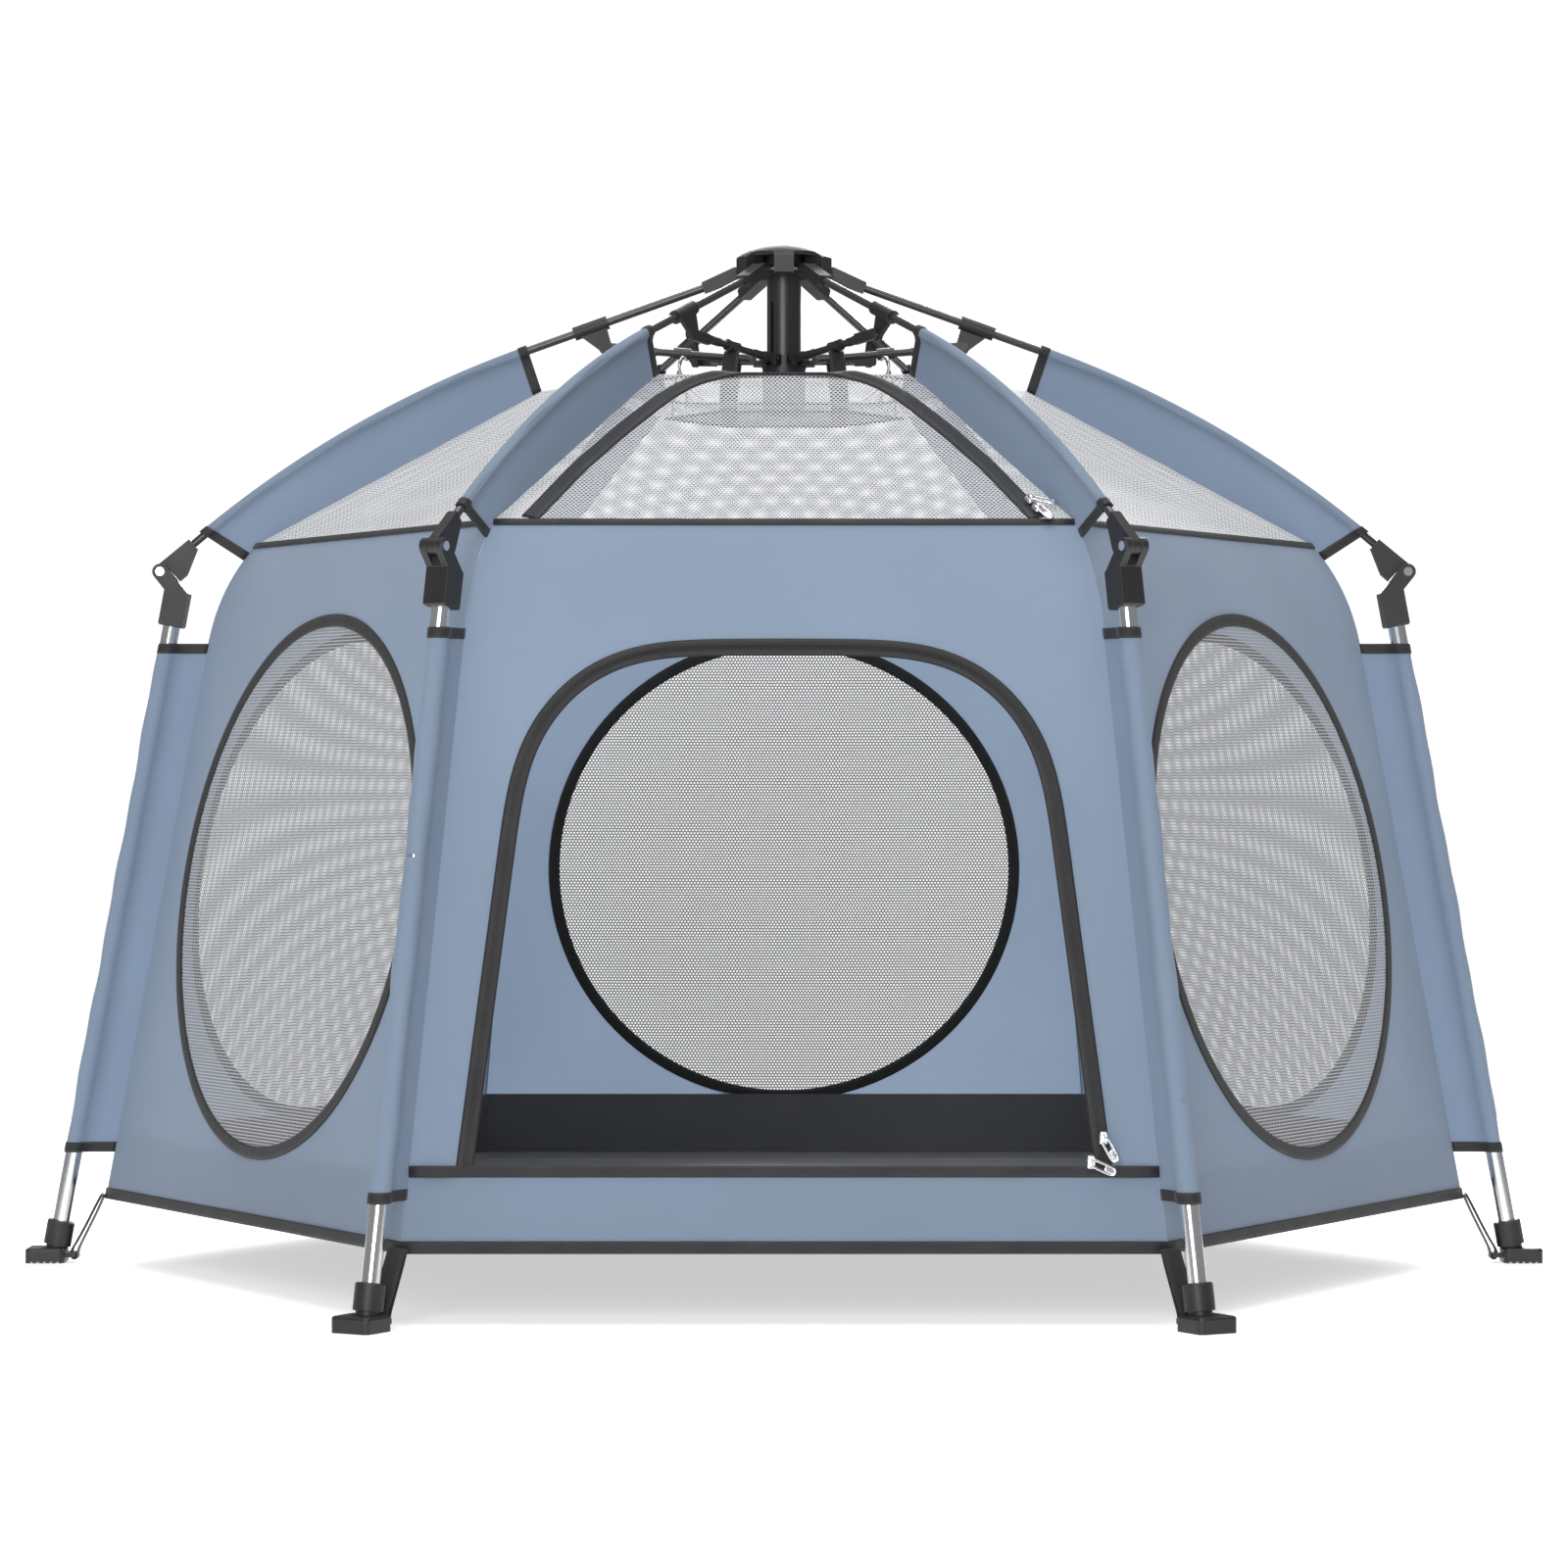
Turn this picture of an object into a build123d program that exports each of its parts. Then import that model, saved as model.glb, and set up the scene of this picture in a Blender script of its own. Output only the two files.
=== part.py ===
from build123d import *
from math import atan2, cos, degrees, hypot, radians, sin, tan
import os

# Pop-up play yard: a hexagonal fabric tent hung under six umbrella ribs with folding legs.
# The origin is on the ground under the crown. Azimuth 0 is +X and the door faces -Y.
# Every sub-part that repeats is made once at azimuth 0 and turned to its own corner.

os.makedirs("parts", exist_ok=True)

SIDES = 6
STEP = 360 / SIDES
CORNERS = ["right", "back_right", "back_left", "left", "front_left", "front_right"]
PANELS = ["right_back", "back", "left_back", "left_front", "front_door", "right_front"]
DOOR_PANEL = PANELS.index("front_door")

# Overall sizes: where each leg hinges on its rib, and how the legs lean
ELBOW_RADIUS = 640.4
ELBOW_HEIGHT = 709.1
LEG_LEAN = 10.49           # inwards from upright
KNEE_OFFSET = 20.94        # from the leg's axis in to the hinge, measured level

# Fits
FIT = 0.05          # radial clearance of a bore on its tube, rod or pin
SIDE_GAP = 0.3      # clearance each side of a part that turns in a fork
CLOTH_GAP = 1.0     # clearance of fabric to its neighbours

# Crown and centre tube
TUBE_DIAMETER = 35.0
RIB_PIN_RADIUS = TUBE_DIAMETER / 2 + 20.5      # distance of each rib's pin from the tube's axis
RIB_PIN_HEIGHT = ELBOW_HEIGHT + 307.9
CROWN_TOP = RIB_PIN_HEIGHT + 28.0
CROWN_RADIUS = RIB_PIN_RADIUS + 11.0
CROWN_CAP = 13.0
CROWN_FLAT = 8.0          # radius of the level middle of the dome
CROWN_SHOULDER = 16.0     # fall of the dome to the lugs' outer ends
CROWN_LUG_WIDTH = 20.0
CROWN_LUG_INNER = RIB_PIN_RADIUS - 7.0
CROWN_LUG_OUTER = RIB_PIN_RADIUS + 12.6
CROWN_LUG_DROP = 19.0
CROWN_BOSS_RADIUS = TUBE_DIAMETER / 2 + 8.5
CROWN_BOSS_DROP = 17.5
RIB_PIN_THICKNESS = 4.0
TUBE_WALL = 2.5
TUBE_BOTTOM = RIB_PIN_HEIGHT - 141.0
TUBE_SLOT_WIDTH = 4.0
TUBE_SLOT_TOP = RIB_PIN_HEIGHT - 31.0
TUBE_SLOT_AZIMUTH = 225.0

# Runner, which slides on the tube
RUNNER_PIN_RADIUS = TUBE_DIAMETER / 2 + 9.5
RUNNER_PIN_HEIGHT = RIB_PIN_HEIGHT - 90.0
RUNNER_PIN_THICKNESS = 3.0
RUNNER_LUG_RADIUS = RUNNER_PIN_RADIUS + 4.5
RUNNER_LUG_HALF_WIDTH = 8.5
RUNNER_RISE = 4.0          # from the pins up to the runner's top
RUNNER_DROP = 7.0          # from the pins down to the skirt
SKIRT_LENGTH = 50.0
RUNNER_CORE_RADIUS = TUBE_DIAMETER / 2 + 4.0

# Ribs
RIB_ROD = 8.0
RIB_SLOPE = 19.7           # below level, on the straight inner stretch
RIB_STRAIGHT_END = 265.0   # distance from the axis where the bow starts
HEEL_WIDTH = 14.0
HEEL_EYE = 5.5
HEEL_LENGTH = 48.0
HEEL_SEAT = 22.0
HEEL_RISE = 9.0
HEEL_END = RIB_ROD / 2 + 1.6
CLAMP_AT = 170.5           # distance along the rib from its pin to the middle of the clamp
CLAMP_LENGTH = 37.0
CLAMP_DIAMETER = RIB_ROD + 6.0
LUG_PIVOT_RADIUS = 183.5   # where the strut meets the rib's lug
LUG_PIVOT_HEIGHT = RIB_PIN_HEIGHT - 77.5
LUG_EYE = 7.0
LUG_THICKNESS = 4.0
LUG_INSET = 2.5            # how far the lug's plate stays inside the clamp's ends

# Struts
STRUT_ROD = 7.5
STRUT_EYE = 5.0
STRUT_EYE_WIDTH = 7.0
STRUT_SLEEVE_LENGTH = 34.0
STRUT_SLEEVE_DIAMETER = 9.0
BLADE_LENGTH = 36.0
BLADE_DEPTH = 11.0
HANGER_AT = 78.0           # from the runner's pin to the middle of the hanger clamp
HANGER_LENGTH = 18.0
HANGER_DIAMETER = 12.0

# Elbows
ELBOW_PIN = 5.2
RIVET_HEAD = 9.2
RIVET_HEAD_HEIGHT = 1.2
CHEEK_RADIUS = 8.0
LEG_TUBE = 17.5
ELBOW_WIDTH = LEG_TUBE + 6.5
TONGUE_WIDTH = RIB_ROD + 2.0
TONGUE_EYE = 7.4
TONGUE_LENGTH = 44.0
TONGUE_SEAT = 14.0
KEEL_DEPTH = 20.0

# Legs
LEG_FOOT_RADIUS = ELBOW_RADIUS + ELBOW_HEIGHT * tan(radians(LEG_LEAN)) - KNEE_OFFSET
LEG_WALL = 1.2
LEG_BOTTOM = 22.0          # along the leg from the ground
SOCKET_DROP = 53.4         # from the hinge down to the socket's mouth, along the leg
SOCKET_SEAT = 24.0
SOCKET_BODY = 36.0
SOCKET_WIDTH = LEG_TUBE + 8.5

# Feet
COLLAR_DIAMETER = LEG_TUBE + 10.5
COLLAR_TOP = 43.0
COLLAR_BOTTOM = 18.0
NECK_DIAMETER = 22.0
PAD_INNER = LEG_FOOT_RADIUS - 12.75
PAD_OUTER = PAD_INNER + 40.0
PAD_WIDTH = 42.0
PAD_THICKNESS = 15.0
PAD_CORNER = 6.0
HOOK_INNER = PAD_INNER - 11.0
HOOK_WIDTH = 24.0
HOOK_THICKNESS = 5.0
TREADS = 6
TREAD_DEPTH = 1.8

# Fabric, each level given at the hexagon's corners
CLOTH = 1.5
HEM_RADIUS = LEG_FOOT_RADIUS - 53.25
HEM_HEIGHT = 65.5
SHOULDER_HEIGHT = ELBOW_HEIGHT - 77.1
SHOULDER_RADIUS = HEM_RADIUS - (SHOULDER_HEIGHT - HEM_HEIGHT) * tan(radians(LEG_LEAN))
EAVE_RADIUS = SHOULDER_RADIUS - 50.3
EAVE_HEIGHT = ELBOW_HEIGHT + 27.9
ROOF_TOP_RADIUS = 251.0
ROOF_TOP_HEIGHT = RIB_PIN_HEIGHT - 123.0
CENTRE_RIM_RADIUS = 204.0
CENTRE_RIM_HEIGHT = RIB_PIN_HEIGHT - 121.0
CENTRE_RADIUS = 119.0
CENTRE_HEIGHT = RIB_PIN_HEIGHT - 149.0
FLOOR_THICKNESS = 2.0
FIN_BOTTOM = 114.0
FIN_TOP = SHOULDER_HEIGHT
SLEEVE_THICKNESS = 1.2

# Door in the front wall
DOOR_SILL = 143.5
DOOR_TOP = SHOULDER_HEIGHT - 7.0
DOOR_BOTTOM_HALF = HEM_RADIUS / 2 - 49.75
DOOR_SHOULDER_HALF = SHOULDER_RADIUS / 2 - 46.5
DOOR_TOP_HALF = SHOULDER_RADIUS / 2 - 68.5
DOOR_SHOULDER_HEIGHT = SHOULDER_HEIGHT - 122.0
DOOR_CORNER = 70.0


def on_side_plane(radius, height, along, normal=(0, 1, 0)):
    """A plane at a place in the X-Z plane with its local X along a direction in that plane."""
    return Plane(origin=(radius, 0, height), x_dir=(along[0], 0, along[1]), z_dir=normal)


def save(part, name):
    part.label = name
    export_step(part, f"parts/{name}.step")


def save_round(master, stem, names):
    """Writes one copy of a sub-part for each corner or panel."""
    for number, name in enumerate(names):
        save(master.rotate(Axis.Z, STEP * number), f"{stem}_{name}")


def rib_axis_height(radius):
    """Height of the rib's straight stretch at a distance from the tube's axis."""
    return RIB_PIN_HEIGHT - (radius - RIB_PIN_RADIUS) * tan(radians(RIB_SLOPE))


# Crown: a domed hexagonal cap with a boss round the tube and six lugs that hold the rib pins.
# One arc of revolution shapes the top of both the cap and the lugs.
tube_radius = TUBE_DIAMETER / 2
cap_bottom = CROWN_TOP - CROWN_CAP
crown_tube_top = cap_bottom - CLOTH_GAP
dome_radius = hypot(CROWN_LUG_OUTER, CROWN_LUG_WIDTH / 2) + CLOTH_GAP
with BuildPart() as crown:
    with BuildSketch(Plane.XY.offset(cap_bottom)):
        RegularPolygon(radius=CROWN_RADIUS, side_count=SIDES, rotation=STEP / 2)
        fillet(vertices(), radius=CROWN_RADIUS / 5)
    extrude(amount=CROWN_CAP)
    with BuildSketch(Plane.XY.offset(cap_bottom)):
        Circle(radius=CROWN_BOSS_RADIUS)
    extrude(amount=-CROWN_BOSS_DROP)
    with BuildSketch(Plane.XY.offset(CROWN_TOP)):
        with PolarLocations((CROWN_LUG_INNER + CROWN_LUG_OUTER) / 2, SIDES, start_angle=STEP / 2):
            Rectangle(CROWN_LUG_OUTER - CROWN_LUG_INNER, CROWN_LUG_WIDTH)
    extrude(amount=-CROWN_CAP - CROWN_LUG_DROP)
    with BuildSketch(Plane.XZ):
        with BuildLine():
            Line((0, CROWN_TOP), (CROWN_FLAT, CROWN_TOP))
            dome = TangentArc((CROWN_FLAT, CROWN_TOP), (dome_radius, CROWN_TOP - CROWN_SHOULDER), tangent=(1, 0))
            Polyline(dome @ 1, (dome_radius, TUBE_BOTTOM), (0, TUBE_BOTTOM), (0, CROWN_TOP))
        make_face()
    revolve(axis=Axis.Z, mode=Mode.INTERSECT)
    with BuildSketch(Plane.XY.offset(crown_tube_top)):
        Circle(radius=tube_radius + FIT)
    extrude(amount=-CROWN_BOSS_DROP, mode=Mode.SUBTRACT)
    for corner in range(SIDES):
        turn = radians(STEP * corner)
        outward = (cos(turn), sin(turn), 0)
        along = (-sin(turn), cos(turn), 0)
        centre = (RIB_PIN_RADIUS * cos(turn), RIB_PIN_RADIUS * sin(turn), RIB_PIN_HEIGHT)
        with BuildSketch(Plane(origin=centre, x_dir=outward, z_dir=along)):
            Circle(radius=RIB_PIN_THICKNESS / 2 + FIT)
        extrude(amount=RIB_PIN_RADIUS / 2, both=True, mode=Mode.SUBTRACT)
save(crown.part, "crown")

# Rib pins: six straight pins, each in two neighbouring lugs of the crown.
pin_half = RIB_PIN_RADIUS / 2 - CLOTH_GAP
with BuildPart() as rib_pins:
    for corner in range(SIDES):
        turn = radians(STEP * corner)
        outward = (cos(turn), sin(turn), 0)
        along = (-sin(turn), cos(turn), 0)
        centre = (RIB_PIN_RADIUS * cos(turn), RIB_PIN_RADIUS * sin(turn), RIB_PIN_HEIGHT)
        with BuildSketch(Plane(origin=centre, x_dir=outward, z_dir=along)):
            Circle(radius=RIB_PIN_THICKNESS / 2)
        extrude(amount=pin_half, both=True)
save(rib_pins.part, "rib_pins")

# Centre tube: a plain tube with one narrow guide slot above the runner.
slot_bottom = RUNNER_PIN_HEIGHT + RUNNER_RISE + CLOTH_GAP
with BuildPart() as centre_tube:
    with BuildSketch(Plane.XY.offset(TUBE_BOTTOM)):
        Circle(radius=tube_radius)
        Circle(radius=tube_radius - TUBE_WALL, mode=Mode.SUBTRACT)
    extrude(amount=crown_tube_top - TUBE_BOTTOM)
    slot_turn = radians(TUBE_SLOT_AZIMUTH)
    slot_centre = (0, 0, (slot_bottom + TUBE_SLOT_TOP) / 2)
    slot_plane = Plane(
        origin=slot_centre,
        x_dir=(0, 0, 1),
        z_dir=(cos(slot_turn), sin(slot_turn), 0),
    )
    with BuildSketch(slot_plane):
        SlotOverall(TUBE_SLOT_TOP - slot_bottom, TUBE_SLOT_WIDTH)
    extrude(amount=TUBE_DIAMETER, mode=Mode.SUBTRACT)
save(centre_tube.part, "centre_tube")

# Runner: a ring of forked lugs over a long skirt, bored to slide on the centre tube.
runner_bottom = RUNNER_PIN_HEIGHT - RUNNER_DROP
skirt_radius = RUNNER_PIN_RADIUS - STRUT_SLEEVE_DIAMETER / 2 - SIDE_GAP
strut_slot = STRUT_EYE_WIDTH / 2 + SIDE_GAP
with BuildPart() as runner:
    with BuildSketch(Plane.XY.offset(runner_bottom)):
        Circle(radius=RUNNER_CORE_RADIUS)
        with PolarLocations(RUNNER_LUG_RADIUS / 2, SIDES):
            Rectangle(RUNNER_LUG_RADIUS, 2 * RUNNER_LUG_HALF_WIDTH)
    extrude(amount=RUNNER_DROP + RUNNER_RISE)
    with BuildSketch(Plane.XY.offset(runner_bottom)):
        with PolarLocations(RUNNER_CORE_RADIUS + CROWN_RADIUS / 2, SIDES):
            Rectangle(CROWN_RADIUS, 2 * strut_slot)
    extrude(amount=RUNNER_DROP + RUNNER_RISE, mode=Mode.SUBTRACT)
    with BuildSketch(Plane.XY.offset(runner_bottom)):
        Circle(radius=skirt_radius)
    extrude(amount=-SKIRT_LENGTH)
    skirt_rim = runner.faces().sort_by(Axis.Z)[0].edges()
    fillet(skirt_rim, radius=2)
    with BuildSketch(Plane.XY.offset(runner_bottom - SKIRT_LENGTH)):
        Circle(radius=tube_radius + 2 * FIT)
    extrude(amount=SKIRT_LENGTH + RUNNER_DROP + RUNNER_RISE, mode=Mode.SUBTRACT)
    for corner in range(SIDES):
        turn = radians(STEP * corner)
        outward = (cos(turn), sin(turn), 0)
        along = (-sin(turn), cos(turn), 0)
        reach = (RUNNER_PIN_RADIUS * cos(turn), RUNNER_PIN_RADIUS * sin(turn), RUNNER_PIN_HEIGHT)
        with BuildSketch(Plane(origin=reach, x_dir=outward, z_dir=along)):
            Circle(radius=RUNNER_PIN_THICKNESS / 2 + FIT)
        extrude(amount=RUNNER_LUG_HALF_WIDTH + 1, both=True, mode=Mode.SUBTRACT)
save(runner.part, "runner")

# Strut pins: six short pins across the runner's forks.
with BuildPart() as strut_pins:
    for corner in range(SIDES):
        turn = radians(STEP * corner)
        outward = (cos(turn), sin(turn), 0)
        along = (-sin(turn), cos(turn), 0)
        reach = (RUNNER_PIN_RADIUS * cos(turn), RUNNER_PIN_RADIUS * sin(turn), RUNNER_PIN_HEIGHT)
        with BuildSketch(Plane(origin=reach, x_dir=outward, z_dir=along)):
            Circle(radius=RUNNER_PIN_THICKNESS / 2)
        extrude(amount=RUNNER_LUG_HALF_WIDTH, both=True)
save(strut_pins.part, "strut_pins")

# Rib rod: straight from the heel, then one long bow down to the elbow tongue.
slope_x = cos(radians(RIB_SLOPE))
slope_z = -sin(radians(RIB_SLOPE))
bow_length = TONGUE_LENGTH - 6
bow_out = ELBOW_RADIUS - RIB_STRAIGHT_END
bow_up = ELBOW_HEIGHT - rib_axis_height(RIB_STRAIGHT_END)
bow_along = bow_out * slope_x + bow_up * slope_z
bend_reach = (bow_out**2 + bow_up**2 - bow_length**2) / (2 * (bow_along + bow_length))
tongue_run = hypot(bend_reach * slope_x - bow_out, bend_reach * slope_z - bow_up)
tongue_x = (bend_reach * slope_x - bow_out) / tongue_run
tongue_z = (bend_reach * slope_z - bow_up) / tongue_run
rod_start = (RIB_PIN_RADIUS + HEEL_SEAT * slope_x, RIB_PIN_HEIGHT + HEEL_SEAT * slope_z)
bow_start = (RIB_STRAIGHT_END, rib_axis_height(RIB_STRAIGHT_END))
bow_end = (ELBOW_RADIUS + bow_length * tongue_x, ELBOW_HEIGHT + bow_length * tongue_z)
with BuildPart() as rib_rod:
    with BuildLine() as rib_path:
        Line((rod_start[0], 0, rod_start[1]), (bow_start[0], 0, bow_start[1]))
        TangentArc(
            (bow_start[0], 0, bow_start[1]),
            (bow_end[0], 0, bow_end[1]),
            tangent=(slope_x, 0, slope_z),
        )
    with BuildSketch(Plane(origin=rib_path.line @ 0, z_dir=rib_path.line % 0)):
        Circle(radius=RIB_ROD / 2)
    sweep(path=rib_path.line)
    end_cut = Plane(origin=rib_path.line @ 1, z_dir=rib_path.line % 1)
    with BuildSketch(end_cut):
        Circle(radius=RIB_ROD / 2)
    extrude(amount=bow_length - TONGUE_SEAT)
save_round(rib_rod.part, "rib_rod", CORNERS)

# Rib fittings: the heel at the crown, the clamp with its lug, and the elbow tongue.
heel_plane = on_side_plane(RIB_PIN_RADIUS, RIB_PIN_HEIGHT, (slope_x, slope_z), (0, -1, 0))
clamp_start = CLAMP_AT - CLAMP_LENGTH / 2
lug_out = LUG_PIVOT_RADIUS - RIB_PIN_RADIUS
lug_down = LUG_PIVOT_HEIGHT - RIB_PIN_HEIGHT
lug_x = lug_out * slope_x + lug_down * slope_z
lug_y = lug_down * slope_x - lug_out * slope_z
tongue_plane = on_side_plane(ELBOW_RADIUS, ELBOW_HEIGHT, (tongue_x, tongue_z), (0, 1, 0))
end_direction = rib_path.line % 1
with BuildPart() as rib_heel:
    with BuildSketch(heel_plane):
        Circle(radius=HEEL_EYE)
        with BuildLine():
            Polyline(
                (0, HEEL_EYE),
                (11, HEEL_RISE),
                (HEEL_LENGTH, HEEL_END),
                (HEEL_LENGTH, -HEEL_END),
                (11, -HEEL_EYE),
                (0, -HEEL_EYE),
                close=True,
            )
        make_face()
    extrude(amount=HEEL_WIDTH / 2, both=True)
    long_edges = rib_heel.edges().group_by(Axis.X)[-1]
    fillet(long_edges, radius=1.5)
    with BuildSketch(heel_plane):
        Circle(radius=RIB_PIN_THICKNESS / 2 + FIT)
    extrude(amount=HEEL_WIDTH, both=True, mode=Mode.SUBTRACT)
    rod_seat = Plane(origin=(rod_start[0], 0, rod_start[1]), z_dir=(slope_x, 0, slope_z))
    with BuildSketch(rod_seat):
        Circle(radius=RIB_ROD / 2 + FIT)
    extrude(amount=HEEL_LENGTH, mode=Mode.SUBTRACT)

with BuildPart() as rib_clamp:
    clamp_plane = Plane(
        origin=(
            RIB_PIN_RADIUS + clamp_start * slope_x,
            0,
            RIB_PIN_HEIGHT + clamp_start * slope_z,
        ),
        z_dir=(slope_x, 0, slope_z),
    )
    with BuildSketch(clamp_plane):
        Circle(radius=CLAMP_DIAMETER / 2)
    extrude(amount=CLAMP_LENGTH)
    lug_plane = heel_plane.offset(-(SIDE_GAP + LUG_THICKNESS))
    with BuildSketch(lug_plane):
        with Locations((lug_x, lug_y)):
            Circle(radius=LUG_EYE)
        with BuildLine():
            Polyline(
                (lug_x - LUG_EYE, lug_y),
                (clamp_start + LUG_INSET, 0),
                (clamp_start + CLAMP_LENGTH - LUG_INSET, 0),
                (lug_x + LUG_EYE, lug_y),
                close=True,
            )
        make_face()
    extrude(amount=LUG_THICKNESS)
    with BuildSketch(clamp_plane):
        Circle(radius=RIB_ROD / 2 + FIT)
    extrude(amount=CLAMP_LENGTH, mode=Mode.SUBTRACT)

with BuildPart() as rib_tongue:
    with BuildSketch(tongue_plane):
        Circle(radius=TONGUE_EYE)
        with BuildLine():
            Polyline(
                (0, TONGUE_EYE),
                (TONGUE_LENGTH, TONGUE_EYE - 1),
                (TONGUE_LENGTH, -TONGUE_EYE + 1),
                (CHEEK_RADIUS + 10, -KEEL_DEPTH),
                (CHEEK_RADIUS + SIDE_GAP, -KEEL_DEPTH),
                (CHEEK_RADIUS + SIDE_GAP, -TONGUE_EYE / 4),
                (0, -TONGUE_EYE / 4),
                close=True,
            )
        make_face()
    extrude(amount=TONGUE_WIDTH / 2, both=True)
    with BuildSketch(tongue_plane):
        Circle(radius=ELBOW_PIN / 2 + FIT)
    extrude(amount=TONGUE_WIDTH, both=True, mode=Mode.SUBTRACT)
    tongue_bore = Plane(origin=rib_path.line @ 1, z_dir=end_direction)
    with BuildSketch(tongue_bore):
        Circle(radius=RIB_ROD / 2 + FIT)
    extrude(amount=bow_length - TONGUE_SEAT, mode=Mode.SUBTRACT)
    with BuildSketch(tongue_bore):
        Circle(radius=RIB_ROD / 2 + 2 * FIT)
    extrude(amount=-bow_length, mode=Mode.SUBTRACT)
rib_fittings = Compound(
    children=[rib_heel.part.solid(), rib_clamp.part.solid(), rib_tongue.part.solid()]
)
save_round(rib_fittings, "rib_fittings", CORNERS)

# Strut: rod, inner eye on the runner, hanger clamp and a flat outer blade beside the rib's lug.
strut_out = LUG_PIVOT_RADIUS - RUNNER_PIN_RADIUS
strut_up = LUG_PIVOT_HEIGHT - RUNNER_PIN_HEIGHT
strut_length = hypot(strut_out, strut_up)
strut_x = strut_out / strut_length
strut_z = strut_up / strut_length
strut_side = on_side_plane(RUNNER_PIN_RADIUS, RUNNER_PIN_HEIGHT, (strut_x, strut_z), (0, -1, 0))
strut_axis = Plane(
    origin=(RUNNER_PIN_RADIUS, 0, RUNNER_PIN_HEIGHT),
    z_dir=(strut_x, 0, strut_z),
)
sleeve_start = hypot(RUNNER_DROP, RUNNER_LUG_RADIUS - RUNNER_PIN_RADIUS) + SIDE_GAP
blade_start = strut_length - BLADE_LENGTH
with BuildPart() as strut:
    with BuildSketch(strut_side):
        Circle(radius=STRUT_EYE)
        with Locations((sleeve_start, 0)):
            Rectangle(2 * sleeve_start, 2 * STRUT_EYE - 1)
    extrude(amount=STRUT_EYE_WIDTH / 2, both=True)
    with BuildSketch(strut_axis.offset(sleeve_start)):
        Circle(radius=STRUT_SLEEVE_DIAMETER / 2)
    extrude(amount=STRUT_SLEEVE_LENGTH - sleeve_start)
    with BuildSketch(strut_axis.offset(sleeve_start)):
        Circle(radius=STRUT_ROD / 2)
    extrude(amount=blade_start - sleeve_start)
    with BuildSketch(strut_axis.offset(HANGER_AT - HANGER_LENGTH / 2)):
        Circle(radius=HANGER_DIAMETER / 2)
    extrude(amount=HANGER_LENGTH)
    with BuildSketch(strut_axis.offset(blade_start - STRUT_SLEEVE_LENGTH / 2)):
        Circle(radius=STRUT_SLEEVE_DIAMETER / 2)
    extrude(amount=STRUT_SLEEVE_LENGTH / 2)
    with BuildSketch(strut_side.offset(SIDE_GAP)):
        with Locations((strut_length, 0)):
            Circle(radius=BLADE_DEPTH / 2)
        with Locations((strut_length - BLADE_LENGTH / 2, 0)):
            Rectangle(BLADE_LENGTH, BLADE_DEPTH)
        with Locations((blade_start - 2, 0)):
            Rectangle(4, STRUT_ROD)
    extrude(amount=LUG_THICKNESS)
    with BuildSketch(strut_side):
        Circle(radius=RUNNER_PIN_THICKNESS / 2 + FIT)
    extrude(amount=STRUT_EYE_WIDTH, both=True, mode=Mode.SUBTRACT)
save_round(strut.part, "strut", CORNERS)

# Leg frame: local X points outwards across the leg, local Z runs up along it.
lean = radians(LEG_LEAN)
leg_plane = Plane(
    origin=(LEG_FOOT_RADIUS, 0, 0),
    x_dir=(cos(lean), 0, sin(lean)),
    z_dir=(-sin(lean), 0, cos(lean)),
)
leg_side = Plane(origin=(LEG_FOOT_RADIUS, 0, 0), x_dir=(cos(lean), 0, sin(lean)), z_dir=(0, -1, 0))
pivot_across = (ELBOW_RADIUS - LEG_FOOT_RADIUS) * cos(lean) + ELBOW_HEIGHT * sin(lean)
pivot_along = ELBOW_HEIGHT * cos(lean) - (ELBOW_RADIUS - LEG_FOOT_RADIUS) * sin(lean)
elbow_side = on_side_plane(ELBOW_RADIUS, ELBOW_HEIGHT, (cos(lean), sin(lean)), (0, -1, 0))
socket_bottom = pivot_along - SOCKET_DROP
leg_top = socket_bottom + SOCKET_SEAT
leg_radius = LEG_TUBE / 2

# Leg tube with the elbow's rivet.
with BuildPart() as leg_tube:
    with BuildSketch(leg_plane.offset(LEG_BOTTOM)):
        Circle(radius=leg_radius)
        Circle(radius=leg_radius - LEG_WALL, mode=Mode.SUBTRACT)
    extrude(amount=leg_top - LEG_BOTTOM)
    with BuildSketch(elbow_side):
        Circle(radius=ELBOW_PIN / 2)
    extrude(amount=ELBOW_WIDTH / 2, both=True)
    for side in (-1, 1):
        with BuildSketch(elbow_side.offset(side * ELBOW_WIDTH / 2)):
            Circle(radius=RIVET_HEAD / 2)
        extrude(amount=side * RIVET_HEAD_HEIGHT)
save_round(leg_tube.part, "leg_tube", CORNERS)

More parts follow.
